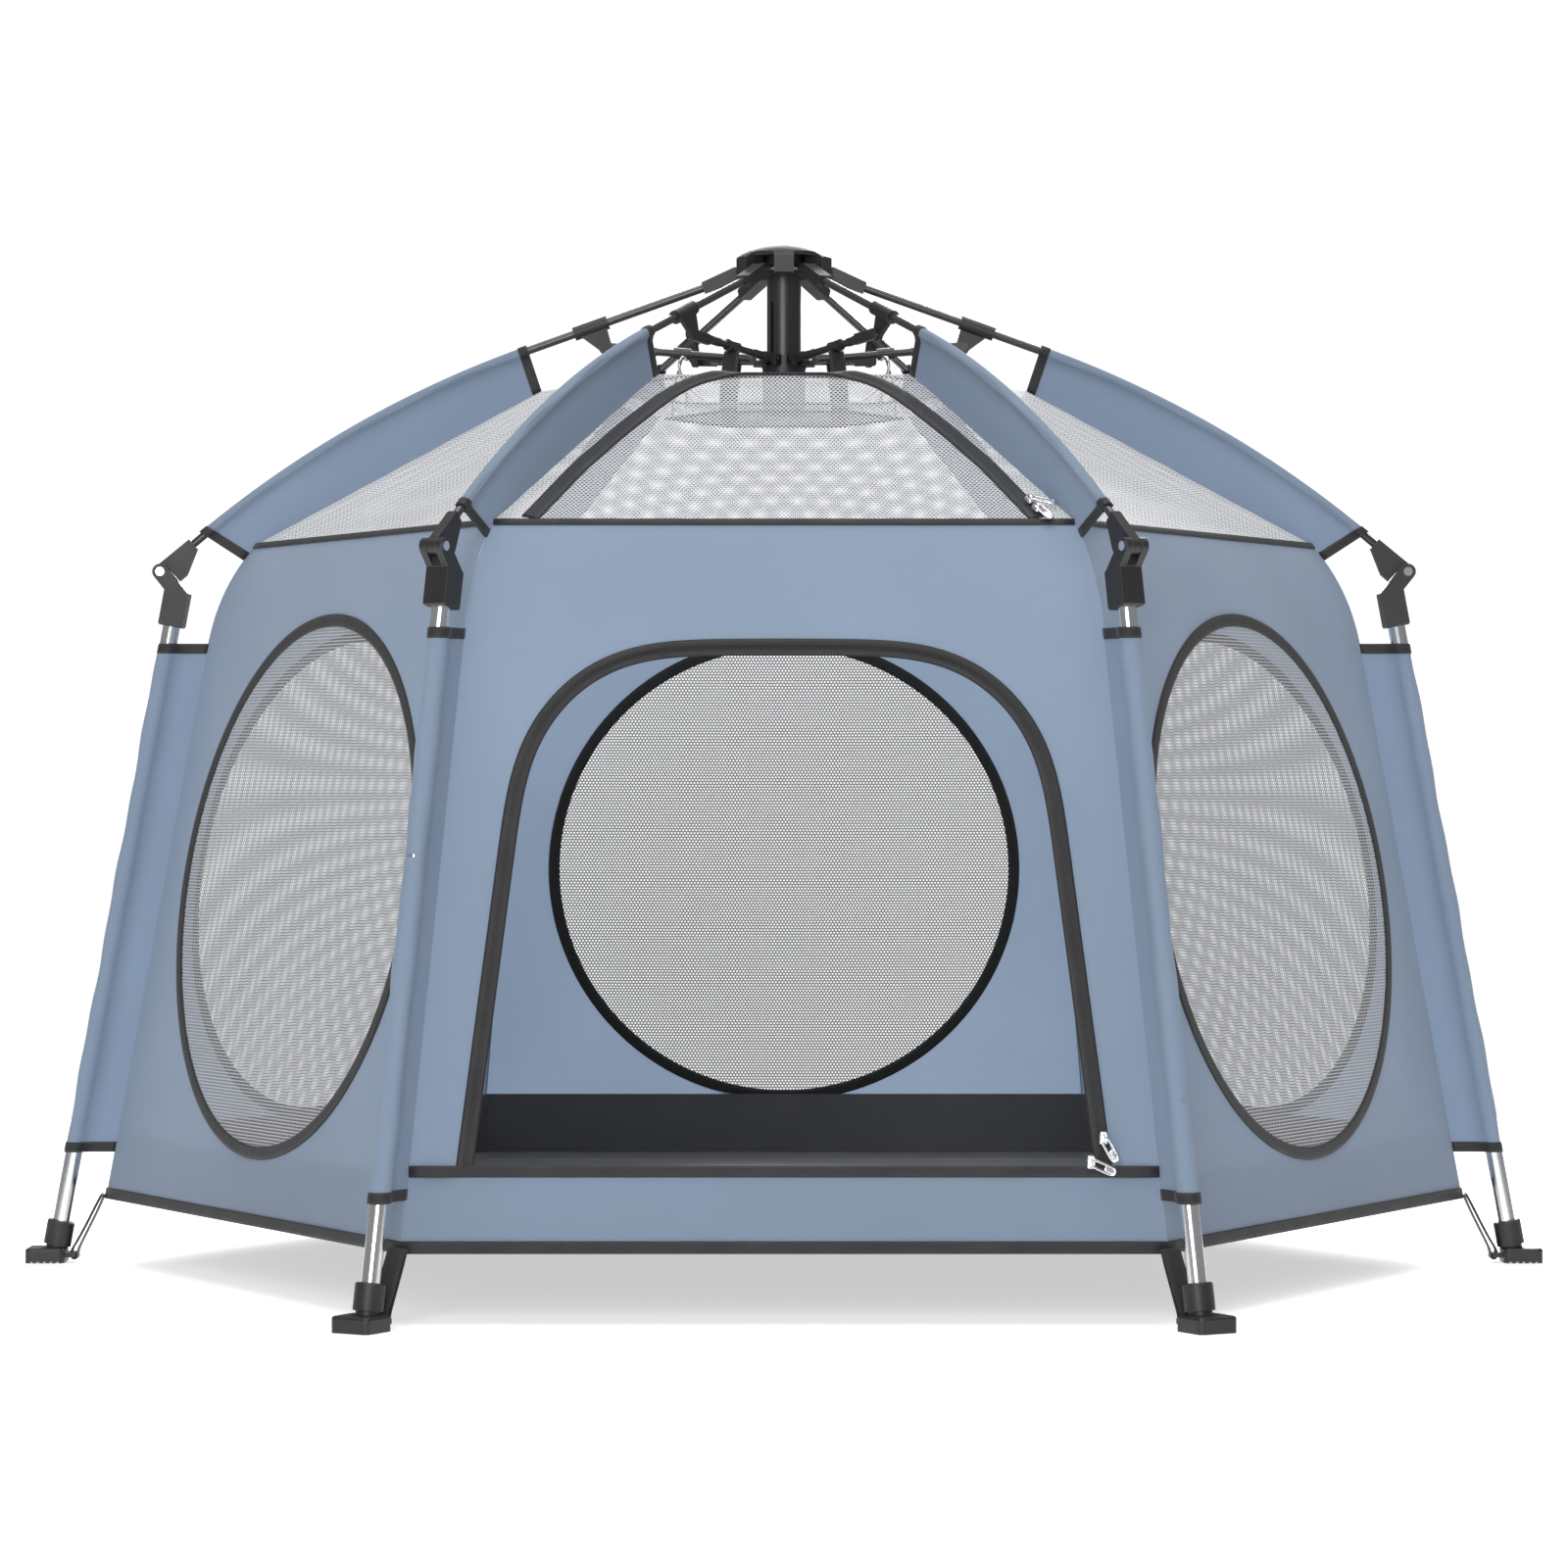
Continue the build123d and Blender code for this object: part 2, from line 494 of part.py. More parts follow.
# Leg elbow: a knee with a socket for the tube and two round cheeks outboard of it.
socket_half = SOCKET_WIDTH / 2
knee_low = (-5.0, socket_bottom + SOCKET_BODY - 5)
knee_length = hypot(pivot_across - knee_low[0], pivot_along - knee_low[1])
knee_angle = degrees(atan2(pivot_along - knee_low[1], pivot_across - knee_low[0]))
knee_middle = ((pivot_across + knee_low[0]) / 2, (pivot_along + knee_low[1]) / 2)
fork_gap = TONGUE_WIDTH / 2 + SIDE_GAP
with BuildPart() as leg_elbow:
    with BuildSketch(leg_side):
        with Locations((0, socket_bottom + SOCKET_BODY / 2)):
            Rectangle(SOCKET_WIDTH, SOCKET_BODY)
        with Locations(Location(knee_middle, knee_angle)):
            SlotCenterToCenter(knee_length, 2 * CHEEK_RADIUS)
    extrude(amount=ELBOW_WIDTH / 2, both=True)
    low_edges = leg_elbow.faces().sort_by(Axis.Z)[0].edges()
    chamfer(low_edges, length=1.5)
    with BuildSketch(elbow_side):
        Circle(radius=CHEEK_RADIUS + SIDE_GAP)
        with Locations((CHEEK_RADIUS * 1.5 - pivot_across + socket_half + SIDE_GAP, 0)):
            Rectangle(3 * CHEEK_RADIUS, 6 * CHEEK_RADIUS)
    extrude(amount=fork_gap, both=True, mode=Mode.SUBTRACT)
    with BuildSketch(tongue_plane):
        with Locations(((CHEEK_RADIUS + TONGUE_LENGTH) / 2, 0)):
            Rectangle(TONGUE_LENGTH - CHEEK_RADIUS, 2 * (KEEL_DEPTH + SIDE_GAP))
    extrude(amount=fork_gap, both=True, mode=Mode.SUBTRACT)
    with BuildSketch(leg_plane.offset(socket_bottom)):
        Circle(radius=leg_radius + FIT)
    extrude(amount=SOCKET_SEAT, mode=Mode.SUBTRACT)
    with BuildSketch(elbow_side):
        Circle(radius=ELBOW_PIN / 2 + FIT)
    extrude(amount=ELBOW_WIDTH, both=True, mode=Mode.SUBTRACT)
save_round(leg_elbow.part, "leg_elbow", CORNERS)

# Foot: a collar round the tube on a ribbed pad, with a flat hook on the inner side.
tread_pitch = (PAD_OUTER - PAD_INNER) / TREADS
with BuildPart() as foot:
    pad_middle = (PAD_INNER + PAD_OUTER) / 2
    with BuildSketch():
        with Locations((pad_middle, 0)):
            RectangleRounded(PAD_OUTER - PAD_INNER, PAD_WIDTH, PAD_CORNER)
    extrude(amount=PAD_THICKNESS)
    pad_top = foot.faces().sort_by(Axis.Z)[-1].edges()
    fillet(pad_top, radius=PAD_THICKNESS / 5)
    with BuildSketch(Plane.XY.offset(PAD_THICKNESS - 2 * HOOK_THICKNESS)):
        with Locations(((HOOK_INNER + pad_middle) / 2, 0)):
            Rectangle(pad_middle - HOOK_INNER, HOOK_WIDTH)
    extrude(amount=HOOK_THICKNESS)
    with BuildSketch(leg_plane.offset(COLLAR_BOTTOM)):
        Circle(radius=COLLAR_DIAMETER / 2)
    extrude(amount=COLLAR_TOP - COLLAR_BOTTOM)
    collar_rim = foot.faces().sort_by(Axis.Z)[-1].edges()
    chamfer(collar_rim, length=1.2)
    with BuildSketch(leg_plane.offset(PAD_THICKNESS / 2)):
        Circle(radius=NECK_DIAMETER / 2)
    extrude(amount=COLLAR_BOTTOM - PAD_THICKNESS / 2)
    with BuildSketch(leg_plane.offset(LEG_BOTTOM)):
        Circle(radius=leg_radius + FIT)
    extrude(amount=COLLAR_TOP, mode=Mode.SUBTRACT)
    with BuildSketch(Plane.XZ):
        for tread in range(1, TREADS):
            with Locations((PAD_INNER + tread * tread_pitch, 0)):
                Circle(radius=TREAD_DEPTH)
    extrude(amount=PAD_WIDTH, both=True, mode=Mode.SUBTRACT)
save_round(foot.part, "foot", CORNERS)

# Fabric shell levels. Each panel spans from its own corner to the next one round.
panel_half = STEP / 2
cloth_inset = CLOTH / cos(radians(panel_half))


def panel_wedge(reach, low, high):
    """The prism of one 60 degree sector, kept clear of its neighbours."""
    gap = CLOTH_GAP / sin(radians(panel_half))
    with BuildPart(mode=Mode.PRIVATE) as wedge:
        with BuildSketch(Plane.XY.offset(low)):
            with BuildLine():
                bisector = radians(panel_half)
                tip = (gap * cos(bisector), gap * sin(bisector))
                far = (tip[0] + reach * cos(radians(STEP)), tip[1] + reach * sin(radians(STEP)))
                Polyline(tip, (tip[0] + reach, tip[1]), far, close=True)
            make_face()
        extrude(amount=high - low)
    return wedge.part


def shell_panel(levels):
    """One sector of a hexagonal shell through corner levels of (radius, height)."""
    with BuildPart() as panel:
        for radius, height in levels:
            with BuildSketch(Plane.XY.offset(height)):
                RegularPolygon(radius=radius, side_count=SIDES)
        loft(ruled=True)
        for radius, height in levels:
            with BuildSketch(Plane.XY.offset(height)):
                RegularPolygon(radius=radius - cloth_inset, side_count=SIDES)
        loft(ruled=True, mode=Mode.SUBTRACT)
        heights = [height for _, height in levels]
        reach = 2 * max(radius for radius, _ in levels)
        add(panel_wedge(reach, min(heights), max(heights)), mode=Mode.INTERSECT)
    return panel.part


wall_panel = shell_panel(
    [
        (HEM_RADIUS, HEM_HEIGHT),
        (SHOULDER_RADIUS, SHOULDER_HEIGHT),
        (EAVE_RADIUS, EAVE_HEIGHT - CLOTH),
    ]
)


def wall_line(height):
    """Corner radius of the lower wall at a height."""
    share = (height - HEM_HEIGHT) / (SHOULDER_HEIGHT - HEM_HEIGHT)
    return HEM_RADIUS + share * (SHOULDER_RADIUS - HEM_RADIUS)


def leg_line(height):
    """Distance of the leg's axis from the centre at a height."""
    return LEG_FOOT_RADIUS - height * tan(lean)


# Leg fin: a flat web from the wall's corner to a fabric sleeve round the leg tube.
sleeve_inner = leg_radius + SIDE_GAP
sleeve_outer = sleeve_inner + SLEEVE_THICKNESS
fin_low = FIN_BOTTOM / cos(lean)
fin_high = FIN_TOP / cos(lean)
with BuildPart() as leg_fin:
    with BuildSketch(Plane.XZ):
        with BuildLine():
            Polyline(
                (wall_line(FIN_BOTTOM) + 2 * CLOTH_GAP, FIN_BOTTOM),
                (leg_line(FIN_BOTTOM), FIN_BOTTOM),
                (leg_line(FIN_TOP), FIN_TOP),
                (wall_line(FIN_TOP) + 2 * CLOTH_GAP, FIN_TOP),
                close=True,
            )
        make_face()
    extrude(amount=CLOTH / 2, both=True)
    with BuildSketch(leg_plane.offset(fin_low)):
        Circle(radius=sleeve_outer)
    extrude(amount=fin_high - fin_low)
    with BuildSketch(leg_plane.offset(fin_low - LEG_TUBE)):
        Circle(radius=sleeve_inner)
    extrude(amount=fin_high - fin_low + 2 * LEG_TUBE, mode=Mode.SUBTRACT)

with BuildPart() as door_cut:
    with BuildSketch(Plane.XZ):
        with BuildLine():
            Polyline(
                (-DOOR_BOTTOM_HALF, DOOR_SILL),
                (-DOOR_SHOULDER_HALF, DOOR_SHOULDER_HEIGHT),
                (-DOOR_TOP_HALF, DOOR_TOP),
                (DOOR_TOP_HALF, DOOR_TOP),
                (DOOR_SHOULDER_HALF, DOOR_SHOULDER_HEIGHT),
                (DOOR_BOTTOM_HALF, DOOR_SILL),
                close=True,
            )
        make_face()
        fillet(vertices().group_by(Axis.Y)[-1], radius=DOOR_CORNER)
    extrude(amount=HEM_RADIUS)

for number, name in enumerate(PANELS):
    with BuildPart() as wall:
        add(wall_panel.rotate(Axis.Z, STEP * number))
        if number == DOOR_PANEL:
            add(door_cut.part, mode=Mode.SUBTRACT)
        add(leg_fin.part.rotate(Axis.Z, STEP * number))
    save(wall.part, f"wall_{name}")

# Roof panels with the rib fins: webs that hang the roof's corner seams under the ribs.
roof_panel = shell_panel([(EAVE_RADIUS, EAVE_HEIGHT), (ROOF_TOP_RADIUS, ROOF_TOP_HEIGHT)])
roof_fall = (ROOF_TOP_HEIGHT - EAVE_HEIGHT) / (EAVE_RADIUS - ROOF_TOP_RADIUS)


def roof_line(radius):
    """Height of the roof's corner seam, with clearance above it."""
    return EAVE_HEIGHT + (EAVE_RADIUS - radius) * roof_fall + 2 * CLOTH_GAP


def rib_bow(share):
    """A point just under the bowed stretch of the rib."""
    place = rib_path.edges()[1] @ share
    return (place.X, place.Z - RIB_ROD / 2 - 2 * CLOTH_GAP)


with BuildPart() as rib_fin:
    with BuildSketch(Plane.XZ):
        with BuildLine():
            Polyline(
                (ROOF_TOP_RADIUS, roof_line(ROOF_TOP_RADIUS)),
                rib_bow(0.01),
                rib_bow(0.35),
                rib_bow(0.65),
                rib_bow(0.88),
                (EAVE_RADIUS, roof_line(EAVE_RADIUS)),
                close=True,
            )
        make_face()
    extrude(amount=CLOTH / 2, both=True)

for number, name in enumerate(PANELS):
    with BuildPart() as roof:
        add(roof_panel.rotate(Axis.Z, STEP * number))
        add(rib_fin.part.rotate(Axis.Z, STEP * number))
    save(roof.part, f"roof_{name}")

# Roof centre: a rim that dips to a flat hexagon under the hub.
rim_levels = [
    (CENTRE_RADIUS, CENTRE_HEIGHT),
    (CENTRE_RIM_RADIUS, CENTRE_RIM_HEIGHT),
]
with BuildPart() as roof_centre:
    for radius, height in rim_levels:
        with BuildSketch(Plane.XY.offset(height - 2 * CLOTH)):
            RegularPolygon(radius=radius, side_count=SIDES)
    loft(ruled=True)
    with BuildSketch(Plane.XY.offset(CENTRE_RIM_HEIGHT - 2 * CLOTH)):
        RegularPolygon(radius=ROOF_TOP_RADIUS - 3 * CLOTH_GAP, side_count=SIDES)
    extrude(amount=CLOTH)
    for radius, height in rim_levels:
        with BuildSketch(Plane.XY.offset(height - CLOTH)):
            RegularPolygon(radius=radius, side_count=SIDES)
    loft(ruled=True, mode=Mode.SUBTRACT)
save(roof_centre.part, "roof_centre")

# Floor: six sectors of one hexagonal sheet, so that it can gather as the legs fold.
floor_top = HEM_HEIGHT - CLOTH_GAP
with BuildPart() as floor_sector:
    with BuildSketch(Plane.XY.offset(floor_top - FLOOR_THICKNESS)):
        RegularPolygon(radius=HEM_RADIUS - CLOTH, side_count=SIDES)
    extrude(amount=FLOOR_THICKNESS)
    add(panel_wedge(2 * HEM_RADIUS, 0, HEM_HEIGHT), mode=Mode.INTERSECT)
save_round(floor_sector.part, "floor", PANELS)
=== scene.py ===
from math import atan2, cos, pi, radians, sin, sqrt, tan

import bpy
import numpy as np
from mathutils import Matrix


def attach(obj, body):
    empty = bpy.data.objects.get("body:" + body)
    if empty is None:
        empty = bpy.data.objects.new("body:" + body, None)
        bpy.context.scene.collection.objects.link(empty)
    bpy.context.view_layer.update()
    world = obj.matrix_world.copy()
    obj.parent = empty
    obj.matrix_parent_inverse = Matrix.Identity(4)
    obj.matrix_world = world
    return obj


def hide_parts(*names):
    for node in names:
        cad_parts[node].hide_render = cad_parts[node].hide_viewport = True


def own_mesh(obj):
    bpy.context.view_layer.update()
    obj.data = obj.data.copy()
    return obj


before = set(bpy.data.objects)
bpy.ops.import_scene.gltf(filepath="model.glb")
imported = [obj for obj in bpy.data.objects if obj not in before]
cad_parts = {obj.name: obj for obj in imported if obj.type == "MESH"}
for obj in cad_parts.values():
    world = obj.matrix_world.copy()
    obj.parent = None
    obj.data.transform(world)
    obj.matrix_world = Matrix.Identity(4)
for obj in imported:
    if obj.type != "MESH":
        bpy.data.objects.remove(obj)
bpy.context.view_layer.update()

CORNERS = ["right", "back_right", "back_left", "left", "front_left", "front_right"]
PANELS = ["right_back", "back", "left_back", "left_front", "front_door", "right_front"]
DOOR = PANELS.index("front_door")

# --- Moulded nylon: crown, runner, heels, clamps, elbows and feet -------------------------------
# Black injection-moulded nylon with a fine spark-eroded grain; its edges are lightened as a painted highlight.
# Each piece is the imported one, so only its surface is made here.


def surface(name, colour, rough, metal=0.0, coords="Object", blotch=(9.0, 0.10), grain=(900.0, 0.00006),
            sheen=0.0, coat=0.0, streak=(1.0, 1.0, 1.0)):
    """A shader whose brightness and roughness drift with a coarse noise and whose bump is a fine noise.
    Returns the material, its node tree, the principled node, the colour output and the height output."""
    made = bpy.data.materials.new(name)
    made.use_nodes = True
    tree = made.node_tree
    shader = tree.nodes["Principled BSDF"]
    shader.inputs["Metallic"].default_value = metal
    shader.inputs["Sheen Weight"].default_value = sheen
    shader.inputs["Sheen Roughness"].default_value = 0.45
    shader.inputs["Coat Weight"].default_value = coat
    place = tree.nodes.new("ShaderNodeTexCoord")
    stretch = tree.nodes.new("ShaderNodeVectorMath")
    stretch.operation = "MULTIPLY"
    stretch.inputs[1].default_value = streak
    tree.links.new(place.outputs[coords], stretch.inputs[0])
    coarse = tree.nodes.new("ShaderNodeTexNoise")
    coarse.inputs["Scale"].default_value = blotch[0]
    coarse.inputs["Detail"].default_value = 5.0
    tree.links.new(stretch.outputs[0], coarse.inputs["Vector"])
    value = tree.nodes.new("ShaderNodeMapRange")
    value.inputs["From Min"].default_value = 0.3
    value.inputs["From Max"].default_value = 0.7
    value.inputs["To Min"].default_value = 1.0 - blotch[1]
    value.inputs["To Max"].default_value = 1.0 + blotch[1]
    tree.links.new(coarse.outputs["Fac"], value.inputs["Value"])
    tint = tree.nodes.new("ShaderNodeHueSaturation")
    tint.inputs["Color"].default_value = (*colour, 1.0)
    tree.links.new(value.outputs["Result"], tint.inputs["Value"])
    tree.links.new(tint.outputs["Color"], shader.inputs["Base Color"])
    dull = tree.nodes.new("ShaderNodeMapRange")
    dull.inputs["From Min"].default_value = 0.3
    dull.inputs["From Max"].default_value = 0.7
    dull.inputs["To Min"].default_value = max(0.02, rough * 0.85)
    dull.inputs["To Max"].default_value = min(1.0, rough * 1.15)
    tree.links.new(coarse.outputs["Fac"], dull.inputs["Value"])
    tree.links.new(dull.outputs["Result"], shader.inputs["Roughness"])
    fine = tree.nodes.new("ShaderNodeTexNoise")
    fine.inputs["Scale"].default_value = grain[0]
    fine.inputs["Detail"].default_value = 2.0
    tree.links.new(stretch.outputs[0], fine.inputs["Vector"])
    bump = tree.nodes.new("ShaderNodeBump")
    bump.inputs["Distance"].default_value = grain[1]
    bump.inputs["Strength"].default_value = 1.0
    tree.links.new(fine.outputs["Fac"], bump.inputs["Height"])
    tree.links.new(bump.outputs["Normal"], shader.inputs["Normal"])
    return made, tree, shader, tint, bump


def painted_edge_highlight(tree, tint, shader, width, lighter):
    """Lightens the colour where the bevelled normal turns away from the true one: a painted highlight along the edges.
    """
    round_normal = tree.nodes.new("ShaderNodeBevel")
    round_normal.inputs["Radius"].default_value = width
    true_normal = tree.nodes.new("ShaderNodeNewGeometry")
    dot = tree.nodes.new("ShaderNodeVectorMath")
    dot.operation = "DOT_PRODUCT"
    tree.links.new(round_normal.outputs["Normal"], dot.inputs[0])
    tree.links.new(true_normal.outputs["Normal"], dot.inputs[1])
    edge = tree.nodes.new("ShaderNodeMapRange")
    edge.inputs["From Min"].default_value = 0.98
    edge.inputs["From Max"].default_value = 0.80
    tree.links.new(dot.outputs["Value"], edge.inputs["Value"])
    mix = tree.nodes.new("ShaderNodeMix")
    mix.data_type = "RGBA"
    mix.inputs[7].default_value = (*lighter, 1.0)
    tree.links.new(edge.outputs["Result"], mix.inputs[0])
    tree.links.new(tint.outputs["Color"], mix.inputs[6])
    tree.links.new(mix.outputs[2], shader.inputs["Base Color"])


def paint(nodes, made):
    """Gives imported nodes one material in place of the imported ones."""
    for node in nodes:
        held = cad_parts[node]
        held.data.materials.clear()
        held.data.materials.append(made)


nylon, tree, shader, tint, bump = surface(
    "moulded_nylon", (0.015, 0.015, 0.016), 0.46, blotch=(14.0, 0.12), grain=(1400.0, 0.00008)
)
# Painted highlight: the edges of the nylon are lightened in colour.
painted_edge_highlight(tree, tint, shader, 0.0012, (0.075, 0.075, 0.080))
paint(["crown", "runner"], nylon)
for corner in CORNERS:
    paint([f"rib_fittings_{corner}", f"leg_elbow_{corner}", f"foot_{corner}"], nylon)

# --- Centre tube, struts and ribs ---------------------------------------------------------------
# The tube and the struts are black powder-coated steel, slightly orange-peeled.
# The ribs are pultruded glass fibre rods with a glossy dark skin drawn out along their length.
powder, tree, shader, tint, bump = surface(
    "powder_coat", (0.018, 0.018, 0.020), 0.38, blotch=(8.0, 0.10), grain=(520.0, 0.00010), coat=0.12
)
# Painted highlight: the edges of the powder coat are lightened in colour.
painted_edge_highlight(tree, tint, shader, 0.0008, (0.10, 0.10, 0.105))
paint(["centre_tube"], powder)
paint([f"strut_{corner}" for corner in CORNERS], powder)
fibre, tree, shader, tint, bump = surface(
    "fibre_rod", (0.030, 0.030, 0.034), 0.26, blotch=(26.0, 0.16), grain=(700.0, 0.00004), coat=0.3
)
paint([f"rib_rod_{corner}" for corner in CORNERS], fibre)

# --- Leg tubes, rivets and pins -----------------------------------------------------------------
# Thin-walled aluminium legs, polished by drawing, so their scratches run along the tube.
# The pins are zinc-plated steel, duller than the legs.
alloy, tree, shader, tint, bump = surface(
    "drawn_alloy", (0.80, 0.81, 0.83), 0.17, metal=1.0, blotch=(30.0, 0.06),
    grain=(1500.0, 0.00003), streak=(1.0, 1.0, 0.04)
)
paint([f"leg_tube_{corner}" for corner in CORNERS], alloy)
zinc, tree, shader, tint, bump = surface(
    "zinc_pin", (0.58, 0.58, 0.60), 0.36, metal=1.0, blotch=(120.0, 0.12), grain=(1800.0, 0.00005)
)
paint(["rib_pins", "strut_pins"], zinc)

# --- Walls --------------------------------------------------------------------------------------
# Six panels of slate-blue woven polyester, cut as trapezoids, sewn at their edges and bound at the hem.
# Each is flat up to its shoulder and then bows in to the eave; five have a round hole for a window
# and the front one has the door's hole. A wall rides with the leg at its first corner.
HEM = (0.6975, 0.0655)
SHOULDER = (0.593, 0.632)
BOW_PULL = (0.5815, 0.6947)
EAVE = (0.5423, 0.737)
FLATTEN = cos(pi / 6)
WINDOW_AT = 0.331
WINDOW_RADIUS = 0.262
DOOR_MIDDLE = 0.33


def profile(corner_line):
    """A panel's middle line from its corner line of (radius, height): rows of length along the panel,
    distance from the axis, height, and the unit direction out and up at each."""
    line = np.array(corner_line, float)
    out = line[:, 0] * FLATTEN
    up = line[:, 1]
    run = np.concatenate([[0.0], np.cumsum(np.hypot(np.diff(out), np.diff(up)))])
    slope = np.stack([np.gradient(out, run), np.gradient(up, run)])
    slope /= np.hypot(*slope)
    return np.stack([run, out, up, slope[0], slope[1]])


def on_panel(shape, number, across, along, lift=0.0):
    """Points on panel `number` at a distance across from its middle and along its profile, lifted outwards.
    Returns the points and the unit vectors across the panel, up along it and out of it."""
    across, along = np.broadcast_arrays(np.asarray(across, float), np.asarray(along, float))
    middle = radians(60 * number + 30)
    outward = np.array([cos(middle), sin(middle), 0.0])
    sideways = np.array([-sin(middle), cos(middle), 0.0])
    upright = np.array([0.0, 0.0, 1.0])
    got = [np.interp(along, shape[0], row)[..., None] for row in shape[1:]]
    climb = got[2] * outward + got[3] * upright
    climb /= np.linalg.norm(climb, axis=-1, keepdims=True)
    normal = got[3] * outward - got[2] * upright
    normal /= np.linalg.norm(normal, axis=-1, keepdims=True)
    point = got[0] * outward + across[..., None] * sideways + got[1] * upright
    point = point + normal * np.asarray(lift, float)[..., None]
    return point, np.broadcast_to(sideways, point.shape), climb, normal


def woven(name, points, flat, made, wrap_rows=False, wrap_columns=False, capped=False):
    """A grid of points as a quad mesh, with its flat coordinates in metres as UV.
    Rows or columns that wrap take one more row or column of UV than of points."""
    rows, columns = points.shape[:2]
    index = np.arange(rows * columns).reshape(rows, columns)
    i = np.arange(rows if wrap_rows else rows - 1)[:, None]
    j = np.arange(columns if wrap_columns else columns - 1)[None, :]
    steps = ((0, 0), (1, 0), (1, 1), (0, 1))
    quads = np.stack([index[(i + a) % rows, (j + b) % columns] for a, b in steps], axis=-1)
    loops = np.stack([flat[i + a, j + b] for a, b in steps], axis=-2).reshape(-1, 2)
    faces = quads.reshape(-1, 4).tolist()
    if capped:
        faces += [index[0].tolist(), index[-1][::-1].tolist()]
        loops = np.concatenate([loops, flat[0, :columns], flat[-1, :columns][::-1]])
    mesh = bpy.data.meshes.new(name)
    mesh.from_pydata(points.reshape(-1, 3).tolist(), [], faces)
    mesh.uv_layers.new(name="flat").data.foreach_set("uv", loops.ravel())
    mesh.polygons.foreach_set("use_smooth", np.ones(len(faces), bool))
    mesh.materials.append(made)
    piece = bpy.data.objects.new(name, mesh)
    bpy.context.collection.objects.link(piece)
    return piece


def weave(tree, bump, pitch, depth):
    """Adds a plain weave to the bump: two crossed sine ribs of one pitch, read from the flat coordinates."""
    place = tree.nodes.new("ShaderNodeTexCoord")
    ribs = []
    for direction in ("X", "Y"):
        rib = tree.nodes.new("ShaderNodeTexWave")
        rib.bands_direction = direction
        rib.inputs["Scale"].default_value = 2 * pi / (20 * pitch)
        tree.links.new(place.outputs["UV"], rib.inputs["Vector"])
        ribs.append(rib)
    cross = tree.nodes.new("ShaderNodeMath")
    cross.operation = "MAXIMUM"
    tree.links.new(ribs[0].outputs["Fac"], cross.inputs[0])
    tree.links.new(ribs[1].outputs["Fac"], cross.inputs[1])
    second = tree.nodes.new("ShaderNodeBump")
    second.inputs["Distance"].default_value = depth
    tree.links.new(cross.outputs[0], second.inputs["Height"])
    tree.links.new(bump.outputs["Normal"], second.inputs["Normal"])
    return second


def polyester(name, colour, glow, crease=0.0012):
    """Woven polyester: plain weave, drifting dye, faint long creases and a little sheen.
    Glow is the share of the light that comes through the thin cloth."""
    made, tree, shader, tint, bump = surface(
        name, colour, 0.72, coords="UV", blotch=(5.0, 0.05), grain=(1100.0, 0.00003), sheen=0.25
    )
    place = tree.nodes.new("ShaderNodeTexCoord")
    folds = tree.nodes.new("ShaderNodeTexNoise")
    folds.inputs["Scale"].default_value = 9.0
    folds.inputs["Detail"].default_value = 3.0
    folds.inputs["Distortion"].default_value = 0.6
    tree.links.new(place.outputs["UV"], folds.inputs["Vector"])
    soft = tree.nodes.new("ShaderNodeBump")
    soft.inputs["Distance"].default_value = crease
    tree.links.new(folds.outputs["Fac"], soft.inputs["Height"])
    ribbed = weave(tree, bump, 0.0006, 0.00006)
    tree.links.new(soft.outputs["Normal"], bump.inputs["Normal"])
    tree.links.new(ribbed.outputs["Normal"], shader.inputs["Normal"])
    through = tree.nodes.new("ShaderNodeBsdfTranslucent")
    tree.links.new(tint.outputs["Color"], through.inputs["Color"])
    tree.links.new(ribbed.outputs["Normal"], through.inputs["Normal"])
    blend = tree.nodes.new("ShaderNodeMixShader")
    blend.inputs["Fac"].default_value = glow
    tree.links.new(shader.outputs["BSDF"], blend.inputs[1])
    tree.links.new(through.outputs["BSDF"], blend.inputs[2])
    tree.links.new(blend.outputs[0], tree.nodes["Material Output"].inputs["Surface"])
    return made


def gather(piece, number, corner_line):
    """Works out the axis across a panel piece at right angles to its first corner's edge line, which nothing then uses,
    and gives the piece its own copy of its mesh.
    """
    turn = radians(60 * number)
    (r0, z0), (r1, z1) = corner_line[0], corner_line[-1]
    edge = np.array([(r1 - r0) * cos(turn), (r1 - r0) * sin(turn), z1 - z0])
    edge /= np.linalg.norm(edge)
    middle = turn + pi / 6
    sideways = np.array([-sin(middle), cos(middle), 0.0])
    axis = sideways - edge * (sideways @ edge)
    axis /= np.linalg.norm(axis)
    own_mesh(piece)


def half_width(shape, along):
    """Half of a panel's width at a length along its profile."""
    return np.interp(along, shape[0], shape[1]) * tan(pi / 6)


t = np.linspace(0, 1, 13)[1:]
bow = [
    tuple((1 - s) ** 2 * np.array(SHOULDER) + 2 * s * (1 - s) * np.array(BOW_PULL) + s * s * np.array(EAVE))
    for s in t
]
wall_line = [tuple(np.array(HEM) * (1 - s) + np.array(SHOULDER) * s) for s in np.linspace(0, 1, 25)] + bow
wall = profile(wall_line)
wall_top = wall[0, -1]


